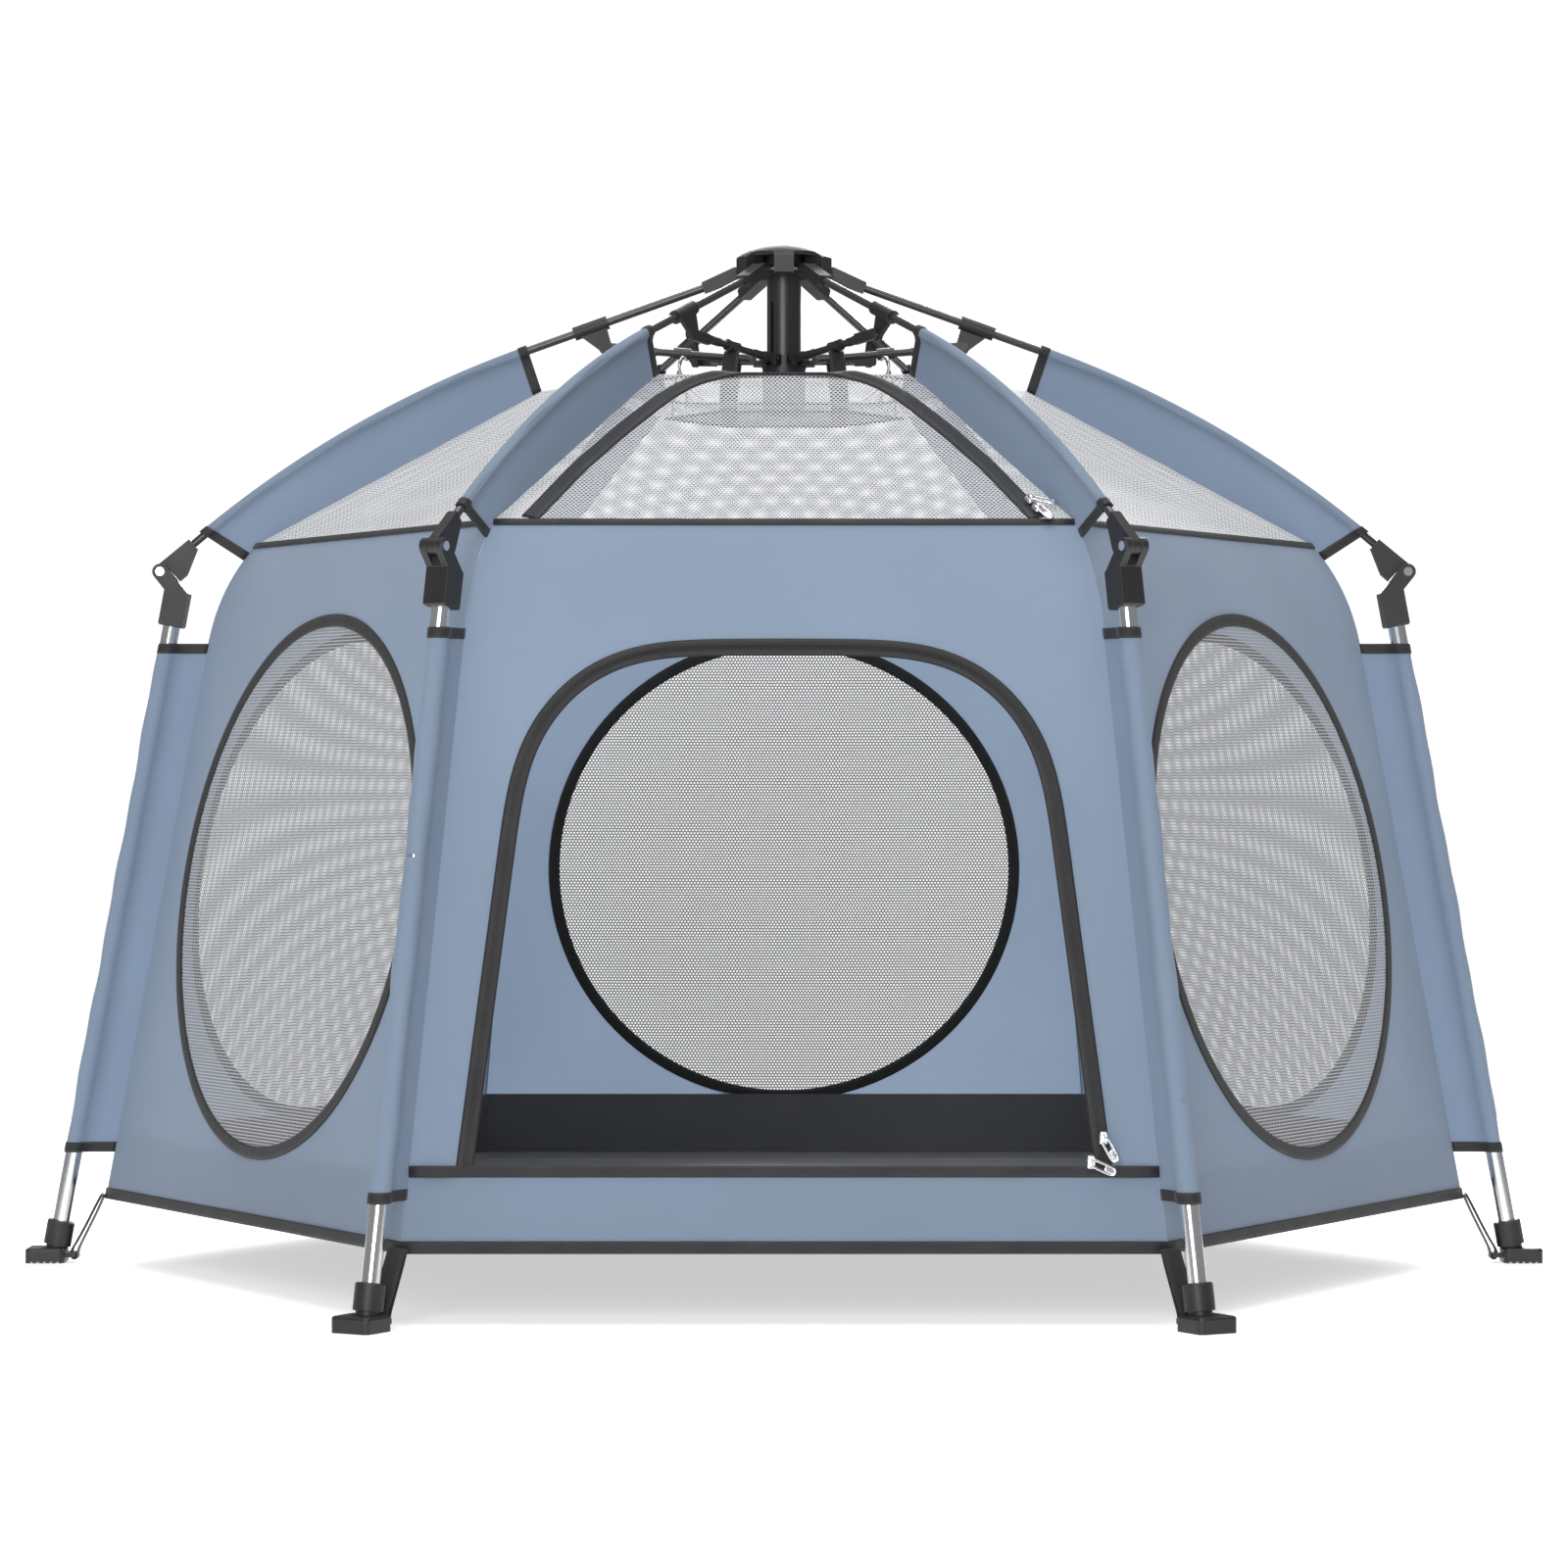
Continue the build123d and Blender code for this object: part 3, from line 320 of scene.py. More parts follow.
def door_outline():
    """The outer edge of the door's zip from its left foot over the top to its right foot, as (across, along):
    a line of measured points made even and then rounded by a running average."""
    half = np.array([
        (0.299, 0.1385), (0.277, 0.3155), (0.255, 0.493), (0.240, 0.541), (0.211, 0.580),
        (0.178, 0.606), (0.135, 0.6215), (0.09, 0.625), (0.0, 0.6255),
    ])
    line = np.concatenate([half * (-1, 1), half[::-1][1:]])
    run = np.concatenate([[0.0], np.cumsum(np.hypot(*np.diff(line, axis=0).T))])
    even = np.linspace(0, run[-1], 361)
    line = np.stack([np.interp(even, run, line[:, 0]), np.interp(even, run, line[:, 1])], axis=1)
    for _ in range(3):
        longer = np.concatenate([np.repeat(line[:1], 7, 0), line, np.repeat(line[-1:], 7, 0)])
        spread = np.stack([longer[n:n + len(line)] for n in range(15)]).mean(axis=0)
        line[12:-12] = spread[12:-12]
    line[:, 1] = np.interp(line[:, 1], wall[2], wall[0])
    return line


def inward(line, distance):
    """A line in the panel moved to its right-hand side, which for the door is inwards."""
    way = np.gradient(line, axis=0)
    way /= np.linalg.norm(way, axis=1, keepdims=True)
    return line + distance * np.stack([way[:, 1], -way[:, 0]], axis=1)


door_edge = door_outline()
hole = inward(door_edge, 0.006)
hole = np.concatenate([hole, np.linspace(hole[-1], hole[0], 121)[1:-1]])
cloth_blue = polyester("slate_polyester", (0.280, 0.360, 0.480), 0.36)
for k, panel in enumerate(PANELS):
    steps = np.linspace(0, 1, 41)[:-1]
    side = np.concatenate([np.linspace(0, 0.84, 25), np.linspace(0.84, 1, 13)[1:]])[:-1] * wall_top
    foot, top = half_width(wall, 0.0), half_width(wall, wall_top)
    rim = np.concatenate([
        np.stack([-foot + 2 * foot * steps, 0 * steps], 1),
        np.stack([half_width(wall, side), side], 1),
        np.stack([top - 2 * top * steps, 0 * steps + wall_top], 1),
        np.stack([-half_width(wall, (wall_top - side)), wall_top - side], 1),
    ])
    middle = (0.0, DOOR_MIDDLE if k == DOOR else WINDOW_AT)
    angle = np.arctan2(rim[:, 1] - middle[1], rim[:, 0] - middle[0])
    if k == DOOR:
        turn = np.arctan2(hole[:, 1] - middle[1], hole[:, 0] - middle[0])
        reach = np.hypot(hole[:, 1] - middle[1], hole[:, 0] - middle[0])
        order = np.argsort(turn)
        reach = np.interp(angle, turn[order], reach[order], period=2 * pi)
    else:
        reach = np.full(len(angle), WINDOW_RADIUS - 0.004)
    inner = np.stack([middle[0] + reach * np.cos(angle), middle[1] + reach * np.sin(angle)], 1)
    share = np.linspace(0, 1, 19)
    flat = rim[:, None, :] * (1 - share[:, None]) + inner[:, None, :] * share[:, None]
    slack = np.sin(pi * share)[None, :] * (
        0.0014 * np.sin(9 * flat[..., 0] + k) * np.cos(7 * flat[..., 1] + 2 * k)
        + 0.0007 * np.sin(31 * (flat[..., 0] + 0.6 * flat[..., 1]) + 1.7 * k)
    ) - 0.0018 * np.sin(pi * share)[None, :]
    points = on_panel(wall, k, flat[..., 0], flat[..., 1], slack)[0]
    around = np.concatenate([flat, flat[:1]])
    piece = woven(f"wall_cloth_{panel}", points, around, cloth_blue, wrap_rows=True)
    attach(piece, f"leg_{CORNERS[k]}")
    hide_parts(f"wall_{panel}")
    gather(piece, k, wall_line[:2])

# --- Bindings of the walls ----------------------------------------------------------------------
# Black ribbed polyester tape folded over each raw edge and lockstitched near both its edges: 12 mm
# round the windows, 10 mm at the hem, and a thin piped seam along the eave.


def tape(name, path, across, normal, width, thick, made, closed=False, start=0.0):
    """A band along a path: a flat section with rounded edges, set out by the across and normal vectors."""
    ways = np.gradient(path, axis=0)
    if np.sum(np.cross(across, normal) * ways) < 0:
        across = -across
    sx = np.array([-1, -1, -0.93, -0.5, 0.5, 0.93, 1, 1, 0.93, 0.5, -0.5, -0.93]) * width / 2
    sy = np.array([-0.4, 0.4, 0.85, 1, 1, 0.85, 0.4, -0.4, -0.85, -1, -1, -0.85]) * thick / 2
    points = path[:, None] + across[:, None] * sx[:, None] + normal[:, None] * sy[:, None]
    joined = np.concatenate([path, path[:1]]) if closed else path
    run = start + np.concatenate([[0.0], np.cumsum(np.linalg.norm(np.diff(joined, axis=0), axis=1))])
    section = np.append(sx, sx[0])
    flat = np.stack(np.broadcast_arrays(run[:, None], section[None, :]), -1)
    return woven(name, points, flat, made, wrap_rows=closed, wrap_columns=True, capped=not closed)


def band_material(name, colour, stitch, teeth=False):
    """Ribbed tape with two dashed stitch lines at a distance from its middle; a zip adds a coil of teeth."""
    made, tree, shader, tint, bump = surface(
        name, colour, 0.62, coords="UV", blotch=(20.0, 0.14), grain=(1500.0, 0.00004), sheen=0.08
    )
    place = tree.nodes.new("ShaderNodeTexCoord")
    split = tree.nodes.new("ShaderNodeSeparateXYZ")
    tree.links.new(place.outputs["UV"], split.inputs[0])

    def maths(operation, first, second=None, limit=False):
        node = tree.nodes.new("ShaderNodeMath")
        node.operation = operation
        node.use_clamp = limit
        for socket, value in zip(node.inputs, (first, second)):
            if isinstance(value, float):
                socket.default_value = value
            elif value is not None:
                tree.links.new(value, socket)
        return node.outputs[0]

    rib = maths("SINE", maths("MULTIPLY", split.outputs[0], 2 * pi / 0.0011))
    height = maths("MULTIPLY", rib, 0.35)
    off = maths("ABSOLUTE", split.outputs[1])
    near = maths("LESS_THAN", maths("ABSOLUTE", maths("SUBTRACT", off, stitch)), 0.00035)
    dash = maths("LESS_THAN", maths("FRACT", maths("MULTIPLY", split.outputs[0], 1 / 0.0032)), 0.72)
    thread = maths("MULTIPLY", near, dash)
    height = maths("ADD", height, maths("MULTIPLY", thread, 2.2))
    if teeth:
        coil = maths("LESS_THAN", off, 0.0024)
        tooth = maths("SINE", maths("MULTIPLY", split.outputs[0], 2 * pi / 0.0019))
        height = maths("ADD", height, maths("MULTIPLY", coil, maths("ADD", maths("MULTIPLY", tooth, 2.5), 4.0)))
    relief = tree.nodes.new("ShaderNodeBump")
    relief.inputs["Distance"].default_value = 0.00012
    tree.links.new(height, relief.inputs["Height"])
    tree.links.new(bump.outputs["Normal"], relief.inputs["Normal"])
    tree.links.new(relief.outputs["Normal"], shader.inputs["Normal"])
    mix = tree.nodes.new("ShaderNodeMix")
    mix.data_type = "RGBA"
    mix.inputs[7].default_value = (0.040, 0.040, 0.043, 1.0)
    tree.links.new(thread, mix.inputs[0])
    tree.links.new(tint.outputs["Color"], mix.inputs[6])
    tree.links.new(mix.outputs[2], shader.inputs["Base Color"])
    return made


binding = band_material("ribbed_binding", (0.010, 0.010, 0.011), 0.0038)
RING_BAND = 0.0125
HEM_BAND = 0.0115
BAND_THICK = 0.0026


def band_on(name, shape, number, line, width, thick, made, closed=False, lift=0.0, flat_ends=None):
    """A tape that follows a line of (across, along) on a panel and lies flat on it."""
    line = np.asarray(line, float)
    here, sideways, climb, normal = on_panel(shape, number, line[:, 0], line[:, 1], np.full(len(line), lift))
    if closed:
        way = np.roll(line, -1, 0) - np.roll(line, 1, 0)
    else:
        way = np.gradient(line, axis=0)
    way /= np.linalg.norm(way, axis=1, keepdims=True)
    across = -way[:, 1:2] * sideways + way[:, 0:1] * climb
    return tape(name, here, across, normal, width, thick, made, closed)


wall_trim = {k: [] for k in range(6)}
for k, panel in enumerate(PANELS):
    leg, fold = f"leg_{CORNERS[k]}", f"leg_{CORNERS[k]}_fold"
    foot, top = half_width(wall, 0.0), half_width(wall, wall_top)
    reach = np.linspace(-1, 1, 41)
    hem = band_on(f"hem_binding_{panel}", wall, k, np.stack([reach * foot, 0 * reach + 0.005], 1),
                  HEM_BAND, BAND_THICK, binding)
    eave = band_on(f"eave_piping_{panel}", wall, k, np.stack([reach * top, 0 * reach + wall_top - 0.002], 1),
                   0.007, 0.0036, binding)
    made = [hem, eave]
    if k != DOOR:
        turn = np.linspace(0, 2 * pi, 145)[:-1]
        ring = np.stack([WINDOW_RADIUS * np.cos(turn), WINDOW_AT + WINDOW_RADIUS * np.sin(turn)], 1)
        made.append(band_on(f"window_binding_{panel}", wall, k, ring, RING_BAND, BAND_THICK, binding, closed=True))
    for piece in made:
        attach(piece, leg)
        gather(piece, k, wall_line[:2])
    wall_trim[k] += made

# --- Window nets --------------------------------------------------------------------------------
# Round sheets of white warp-knitted hexagonal net, sewn into the window bindings and pulled nearly flat.
# The holes are a hexagonal lattice 3.7 mm apart, cut through the surface by its transparency.


def net_material(name, colour, pitch, thread):
    """Hexagonal net: open where the hexagonal distance to the nearest of two interleaved lattices of
    centres is less than half the pitch less the thread, with rounded threads in the bump."""
    made, tree, shader, tint, bump = surface(
        name, colour, 0.6, coords="UV", blotch=(7.0, 0.04), grain=(2500.0, 0.00003), sheen=0.2
    )
    place = tree.nodes.new("ShaderNodeTexCoord")

    def vector(operation, first, second=None, output=0):
        node = tree.nodes.new("ShaderNodeVectorMath")
        node.operation = operation
        tree.links.new(first, node.inputs[0])
        if second is not None:
            node.inputs[1].default_value = second
        return node.outputs[output]

    def number(operation, first, second):
        node = tree.nodes.new("ShaderNodeMath")
        node.operation = operation
        tree.links.new(first, node.inputs[0])
        if isinstance(second, float):
            node.inputs[1].default_value = second
        else:
            tree.links.new(second, node.inputs[1])
        return node.outputs[0]

    cells = vector("MULTIPLY", place.outputs["UV"], (1 / pitch, 1 / (pitch * sqrt(3)), 0.0))
    distances = []
    for shift in (0.0, 0.5):
        part = vector("FRACTION", vector("ADD", cells, (shift, shift, 0.0)))
        part = vector("SUBTRACT", part, (0.5, 0.5, 0.0))
        part = vector("ABSOLUTE", vector("MULTIPLY", part, (1.0, sqrt(3), 0.0)))
        slant = vector("DOT_PRODUCT", part, (0.5, sqrt(3) / 2, 0.0), output=1)
        split = tree.nodes.new("ShaderNodeSeparateXYZ")
        tree.links.new(part, split.inputs[0])
        distances.append(number("MAXIMUM", split.outputs[0], slant))
    nearest = number("MINIMUM", distances[0], distances[1])
    edge = 0.5 * (1 - thread / pitch)
    opaque = number("GREATER_THAN", nearest, edge)
    relief = tree.nodes.new("ShaderNodeBump")
    relief.inputs["Distance"].default_value = 0.0004
    tree.links.new(nearest, relief.inputs["Height"])
    tree.links.new(bump.outputs["Normal"], relief.inputs["Normal"])
    tree.links.new(relief.outputs["Normal"], shader.inputs["Normal"])
    tree.links.new(opaque, shader.inputs["Alpha"])
    return made


net_white = net_material("hexagonal_net", (0.37, 0.38, 0.40), 0.0037, 0.0014)
SAG = 0.004
for k, panel in enumerate(PANELS):
    if k == DOOR:
        continue
    turn = np.linspace(0, 2 * pi, 97)[:-1]
    share = np.linspace(1, 0.0008, 14)
    flat = np.stack([
        np.outer(np.cos(turn), share) * WINDOW_RADIUS,
        WINDOW_AT + np.outer(np.sin(turn), share) * WINDOW_RADIUS,
    ], -1)
    sag = np.broadcast_to(-SAG * (1 - share ** 2), flat.shape[:2])
    points = on_panel(wall, k, flat[..., 0], flat[..., 1], sag)[0]
    around = np.concatenate([flat, flat[:1]])
    piece = woven(f"window_net_{panel}", points, around, net_white, wrap_rows=True)
    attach(piece, f"leg_{CORNERS[k]}")
    gather(piece, k, wall_line[:2])

# --- Door: zip, sill and rolled flap ------------------------------------------------------------
# A black coil zip on 16 mm tape runs up, over and down round the opening, and a 10 mm band along the sill
# crosses the whole wall. The door cloth is unzipped and rolled up behind the sill, on the floor.
zip_tape = band_material("zip_tape", (0.009, 0.009, 0.010), 0.0056, teeth=True)
ZIP_BAND = 0.0158
SILL = float(np.interp(0.1385, wall[2], wall[0]))
zip_line = inward(door_edge, ZIP_BAND / 2)
door_zip = band_on("door_zip", wall, DOOR, zip_line, ZIP_BAND, 0.0032, zip_tape)
sill_half = half_width(wall, SILL) - 0.001
reach = np.linspace(-1, 1, 61)
sill = band_on("door_sill_band", wall, DOOR, np.stack([reach * sill_half, 0 * reach + SILL], 1), 0.0105, 0.0034,
               binding)
for piece, slot in ((door_zip, "black_binding"), (sill, "black_binding")):
    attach(piece, "leg_front_left")
    gather(piece, DOOR, wall_line[:2])
wall_trim[DOOR] += [door_zip, sill]

for k, panel in enumerate(PANELS):
    foot, top = half_width(wall, 0.0), half_width(wall, wall_top)

ROLL_HALF = 0.235
ROLL_LENGTH = 0.47
ROLL_CORE = 0.004
ROLL_PITCH = 0.0021
turns = np.linspace(0, 1, 201)
outer = sqrt(ROLL_CORE ** 2 + ROLL_LENGTH * ROLL_PITCH / pi)
radius = np.sqrt(ROLL_CORE ** 2 + turns * ROLL_LENGTH * ROLL_PITCH / pi)
spin = (radius - ROLL_CORE) / ROLL_PITCH * 2 * pi
reach = np.linspace(-ROLL_HALF, ROLL_HALF, 40)
ripple = 1 + 0.05 * np.sin(2 * spin[None, :] + 8 * reach[:, None]) + 0.03 * np.sin(23 * reach[:, None])
roll = np.stack([
    np.broadcast_to(reach[:, None], ripple.shape),
    -0.563 + ripple * radius * np.cos(spin),
    0.0665 + outer * 1.06 + ripple * radius * np.sin(spin) * 0.97,
], -1)
flat = np.stack(np.broadcast_arrays(reach[:, None], (turns * ROLL_LENGTH)[None, :]), -1)
flap = woven("door_flap_roll", roll, flat, cloth_blue)
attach(flap, "leg_front_left")
gather(flap, DOOR, wall_line[:2])

# --- Zip pulls ----------------------------------------------------------------------------------
# Two nickel-plated sliders side by side where the door zip ends, and two on the front roof zip.
# Each is a rounded slider body with a bridge and a long looped tab that hangs down the cloth.
nickel, tree, shader, tint, bump = surface(
    "nickel_slider", (0.74, 0.74, 0.76), 0.24, metal=1.0, blotch=(90.0, 0.10), grain=(2200.0, 0.00004)
)


def zip_pull(name, spot, along, normal, swing):
    """A slider as one mesh: a superellipse body, a bridge arch and a stadium-shaped tab loop."""
    spot, along, normal = (np.array(v, float) for v in (spot, along, normal))
    side = np.cross(normal, along)
    pieces = []
    turn = np.linspace(0, 2 * pi, 33)[:-1]
    tall = np.linspace(-1, 1, 7)
    plan = np.stack([np.sign(np.cos(turn)) * np.abs(np.cos(turn)) ** 0.5 * 0.0062,
                     np.sign(np.sin(turn)) * np.abs(np.sin(turn)) ** 0.5 * 0.0044], 1)
    shrink = np.sqrt(1 - 0.55 * tall ** 4)
    centre = spot + normal * 0.0035
    body = centre + (plan[:, None, 0, None] * along + plan[:, None, 1, None] * side) * shrink[:, None] \
        + normal * (tall * 0.0026)[:, None]
    flat = np.stack(np.broadcast_arrays(np.append(turn, 2 * pi)[:, None] * 0.005, tall * 0.003), -1)
    pieces.append(woven(f"{name}_body", body, flat, nickel, wrap_rows=True))
    for end, flip in ((0, 1), (-1, -1)):
        ring = body[:, end]
        middle = ring.mean(axis=0)
        disc = ring[:, None] * np.array([1, 0.6, 0.05])[:, None] + middle * (1 - np.array([1, 0.6, 0.05]))[:, None]
        pieces.append(woven(f"{name}_face{end}", disc[::flip], flat[:, :3] * 0.5, nickel, wrap_rows=True))
    bend = np.linspace(0, pi, 17)
    arch = centre + normal * 0.0024 + np.outer(np.cos(bend) * 0.0045, along) + np.outer(np.sin(bend) * 0.0028, normal)
    out = np.outer(np.cos(bend), along) + np.outer(np.sin(bend), normal)
    pieces.append(tape(f"{name}_bridge", arch, np.tile(side, (17, 1)), out, 0.0022, 0.0011, nickel))
    way = cos(swing) * -along + sin(swing) * side
    cross = np.cross(normal, way)
    loop = np.linspace(0, 2 * pi, 49)[:-1]
    length, wide = 0.0115, 0.0034
    x = np.sign(np.cos(loop)) * np.abs(np.cos(loop)) ** 0.45 * length + length + 0.0005
    y = np.sign(np.sin(loop)) * np.abs(np.sin(loop)) ** 0.75 * wide
    tab = centre + normal * 0.0038 + np.outer(x, way) + np.outer(y, cross)
    tab = tab - np.outer(np.clip(x, 0, 0.02) * 0.12, normal)
    ways = np.gradient(tab, axis=0)
    ways /= np.linalg.norm(ways, axis=1, keepdims=True)
    pieces.append(tape(f"{name}_tab", tab, np.cross(ways, normal), np.tile(normal, (48, 1)), 0.0024, 0.0013,
                       nickel, closed=True))
    line = centre + normal * 0.0035 + np.outer(np.linspace(0.013, 0.0245, 9), way)
    line = line - np.outer(np.linspace(0.013, 0.0245, 9) * 0.1, normal)
    pieces.append(tape(f"{name}_plate", line, np.tile(cross, (9, 1)), np.tile(normal, (9, 1)), 0.0056, 0.0012, nickel))
    whole = pieces[0]
    with bpy.context.temp_override(active_object=whole, object=whole, selected_objects=pieces,
                                   selected_editable_objects=pieces):
        bpy.ops.object.join()
    whole.name = name
    return whole


for number, (across, along, swing) in enumerate(((0.2905, SILL + 0.030, 0.5), (0.279, SILL + 0.008, 1.15))):
    here, sideways, climb, normal = on_panel(wall, DOOR, across, along, 0.002)
    pull = zip_pull(f"door_pull_{number}", here, climb, normal, -swing)
    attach(pull, "leg_front_left")
    gather(pull, DOOR, wall_line[:2])

# --- Inner skirt --------------------------------------------------------------------------------
# A band of dark grey coated cloth, 75 mm high, sewn inside the foot of each wall, where it joins the floor.
cloth_grey = polyester("grey_coated_cloth", (0.085, 0.086, 0.092), 0.04, crease=0.002)
SKIRT = 0.072
for k, panel in enumerate(PANELS):
    reach = np.linspace(-1, 1, 49)
    rise = np.linspace(0.004, SKIRT, 7)
    across = reach[:, None] * (half_width(wall, rise) - 0.003)[None, :]
    along = np.broadcast_to(rise[None, :], across.shape)
    slack = -0.0058 - 0.0010 * np.sin(pi * rise / SKIRT)[None, :] * (1.2 + np.sin(60 * across + k))
    points = on_panel(wall, k, across, along, slack)[0]
    piece = woven(f"inner_skirt_{panel}", points, np.stack([across, along], -1), cloth_grey)
    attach(piece, f"leg_{CORNERS[k]}")
    gather(piece, k, wall_line[:2])

# --- Leg sleeves --------------------------------------------------------------------------------
# A doubled strip of the wall cloth from each wall corner out to the leg, sewn into a sleeve round the tube
# and bound in black at its top and bottom.
SLEEVE_LOW = 0.114
SLEEVE_HIGH = 0.634
LEG_SLEEVE = 0.0100
TUBE_LINE = (0.75075, -0.18516)


def sleeve_section(reach, radius, ply=0.0007):
    """A doubled strip seen end on: out along one ply, round the tube and back along the other.
    Columns are distance from the tube's axis (inwards negative) and sideways distance."""
    near = 1.9 * radius
    run = np.linspace(-reach, -near, 6)
    turn = np.linspace(150, -150, 19) * pi / 180
    x = np.concatenate([run, radius * np.cos(turn), run[::-1]])
    y = np.concatenate([run * 0 + ply, radius * np.sin(turn), run * 0 - ply])
    return np.stack([x, y], 1)


def section_normals(section):
    """Unit vectors out of a section, at right angles to its line."""
    way = np.gradient(section, axis=0)
    way /= np.linalg.norm(way, axis=1, keepdims=True)
    return np.stack([-way[:, 1], way[:, 0]], 1)


def sleeve_at(axis_points, seam_points, turn, radius):
    """Section points and normals at each station between a seam and a tube's axis, both as (radius, height)."""
    outward = np.array([cos(turn), sin(turn), 0.0])
    sideways = np.array([-sin(turn), cos(turn), 0.0])
    rows, normals, flats = [], [], []
    for (ra, za), (rs, zs) in zip(axis_points, seam_points):
        axis = ra * outward + np.array([0, 0, za])
        seam = rs * outward + np.array([0, 0, zs])
        reach = np.linalg.norm(axis - seam)
        way = (axis - seam) / reach
        section = sleeve_section(reach, radius)
        out = section_normals(section)
        rows.append(axis + section[:, :1] * way + section[:, 1:] * sideways)
        normals.append(out[:, :1] * way + out[:, 1:] * sideways)
        flats.append(np.concatenate([[0], np.cumsum(np.linalg.norm(np.diff(section, axis=0), axis=1))]))
    return np.array(rows), np.array(normals), np.array(flats)


for k, corner in enumerate(CORNERS):
    turn = radians(60 * k)
    levels = np.linspace(SLEEVE_LOW, SLEEVE_HIGH, 41)
    tube = [(TUBE_LINE[0] + TUBE_LINE[1] * z, z) for z in levels]
    seam = [(float(np.interp(z, wall[2], wall[1])) / FLATTEN - 0.0008, z) for z in levels]
    rows, normals, widths = sleeve_at(tube, seam, turn, LEG_SLEEVE)
    loose = 0.0005 * np.sin(levels * 90 + k)[:, None] + 0.0006 * np.sin(levels * 37 + 2 * k)[:, None]
    edge = np.sin(pi * np.linspace(0, 1, rows.shape[1]))[None, :]
    rows = rows + (loose * edge)[..., None] * normals
    flat = np.stack([widths, np.broadcast_to(levels[:, None], widths.shape)], -1)
    piece = woven(f"leg_sleeve_{corner}", rows, flat, cloth_blue)
    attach(piece, f"leg_{corner}")
    trims = []
    for place, end in (("low", 0), ("high", -1)):
        rim, rim_normal = rows[end], normals[end]
        climb = np.tile([-sin(radians(10.49)) * cos(turn), -sin(radians(10.49)) * sin(turn), cos(radians(10.49))],
                        (len(rim), 1))
        trims.append(tape(f"leg_sleeve_binding_{place}_{corner}", rim + climb * (0.004 if end == 0 else -0.004),
                          climb, rim_normal, 0.0105, 0.0020, binding))
    for trim in trims:
        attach(trim, f"leg_{corner}")

# --- Roof nets ----------------------------------------------------------------------------------
# Six trapezoids of the white net from the eave up to the flat top, sewn to the rib sleeves' lower seam.
# Each sags a few millimetres and rides with the rib at its first corner.
ROOF_TOP = (0.251, 0.894)
roof_line = [EAVE, tuple((np.array(EAVE) + np.array(ROOF_TOP)) / 2), ROOF_TOP]
roof = profile(roof_line)
roof_top = roof[0, -1]
net_roof = net_material("roof_net", (0.52, 0.53, 0.55), 0.0042, 0.0014)
for k, panel in enumerate(PANELS):
    reach = np.linspace(-1, 1, 41)
    climb = np.linspace(0, 1, 25)
    across = reach[:, None] * half_width(roof, climb * roof_top)[None, :]
    along = np.broadcast_to(climb[None, :] * roof_top, across.shape)
    sag = -0.007 * np.sin(pi * climb)[None, :] * (1 - reach[:, None] ** 2)
    points = on_panel(roof, k, across, along, sag + 0.0006)[0]
    piece = woven(f"roof_net_{panel}", points, np.stack([across, along], -1), net_roof)
    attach(piece, f"rib_{CORNERS[k]}")
    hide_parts(f"roof_{panel}")
    gather(piece, k, roof_line)

# --- Front roof zip -----------------------------------------------------------------------------
# The front roof net opens with its own black zip: up from the eave, across the top edge and down again.


def arch_line(height):
    """The roof zip's middle line as (across, along): slanted sides that bow outwards and a level top that lies
    just over the edge of the flat top, rounded by a running average."""
    half = np.array([(0.237, 0.004), (0.195, 0.36 * height), (0.155, 0.625 * height), (0.123, 0.81 * height),
                     (0.108, 0.885 * height), (0.093, 0.945 * height), (0.068, height), (0.0, height + 0.006)])
    line = np.concatenate([half * (-1, 1), half[::-1][1:]])
    run = np.concatenate([[0.0], np.cumsum(np.hypot(*np.diff(line, axis=0).T))])
    even = np.linspace(0, run[-1], 241)
    line = np.stack([np.interp(even, run, line[:, 0]), np.interp(even, run, line[:, 1])], 1)
    for _ in range(2):
        longer = np.concatenate([np.repeat(line[:1], 5, 0), line, np.repeat(line[-1:], 5, 0)])
        spread = np.stack([longer[n:n + len(line)] for n in range(11)]).mean(axis=0)
        line[8:-8] = spread[8:-8]
    return line


def net_sag(line):
    """How far the roof net sags under each point of a line on it."""
    share = np.clip(line[:, 1] / roof_top, 0, 1)
    return -0.007 * np.sin(pi * share) * (1 - (line[:, 0] / half_width(roof, line[:, 1])) ** 2)


over_top = [tuple(np.array(ROOF_TOP) + step * np.array(way)) for step, way in (
    (-0.010, (-0.876, 0.476)), (-0.003, (-0.876, 0.476)), (0.0, (-0.876, 0.476)), (0.003, (-1.0, 0.03)),
    (0.040, (-1.0, 0.03)))]
rounded_roof = profile(roof_line[:2] + over_top)
line = arch_line(roof_top)
here, sideways, climb, normal = on_panel(rounded_roof, DOOR, line[:, 0], line[:, 1], net_sag(line) + 0.001)
way = np.gradient(line, axis=0)
way /= np.linalg.norm(way, axis=1, keepdims=True)
roof_zip = tape("roof_zip", here, -way[:, 1:2] * sideways + way[:, 0:1] * climb, normal, 0.0175, 0.003, zip_tape)
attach(roof_zip, "rib_front_left")
gather(roof_zip, DOOR, roof_line)
roof_pulls = []
for number, (across, along, swing) in enumerate(((0.231, 0.030, 0.9), (0.237, 0.014, 0.15))):
    here, sideways, climb, normal = on_panel(roof, DOOR, across, along, 0.002)
    lean = climb - sideways * 0.42
    pull = zip_pull(f"roof_pull_{number}", here, lean / np.linalg.norm(lean), normal, -swing)
    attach(pull, "rib_front_left")
    gather(pull, DOOR, roof_line)
    roof_pulls.append(pull)
for k, panel in enumerate(PANELS):
    foot, top = half_width(roof, 0.0), half_width(roof, roof_top)

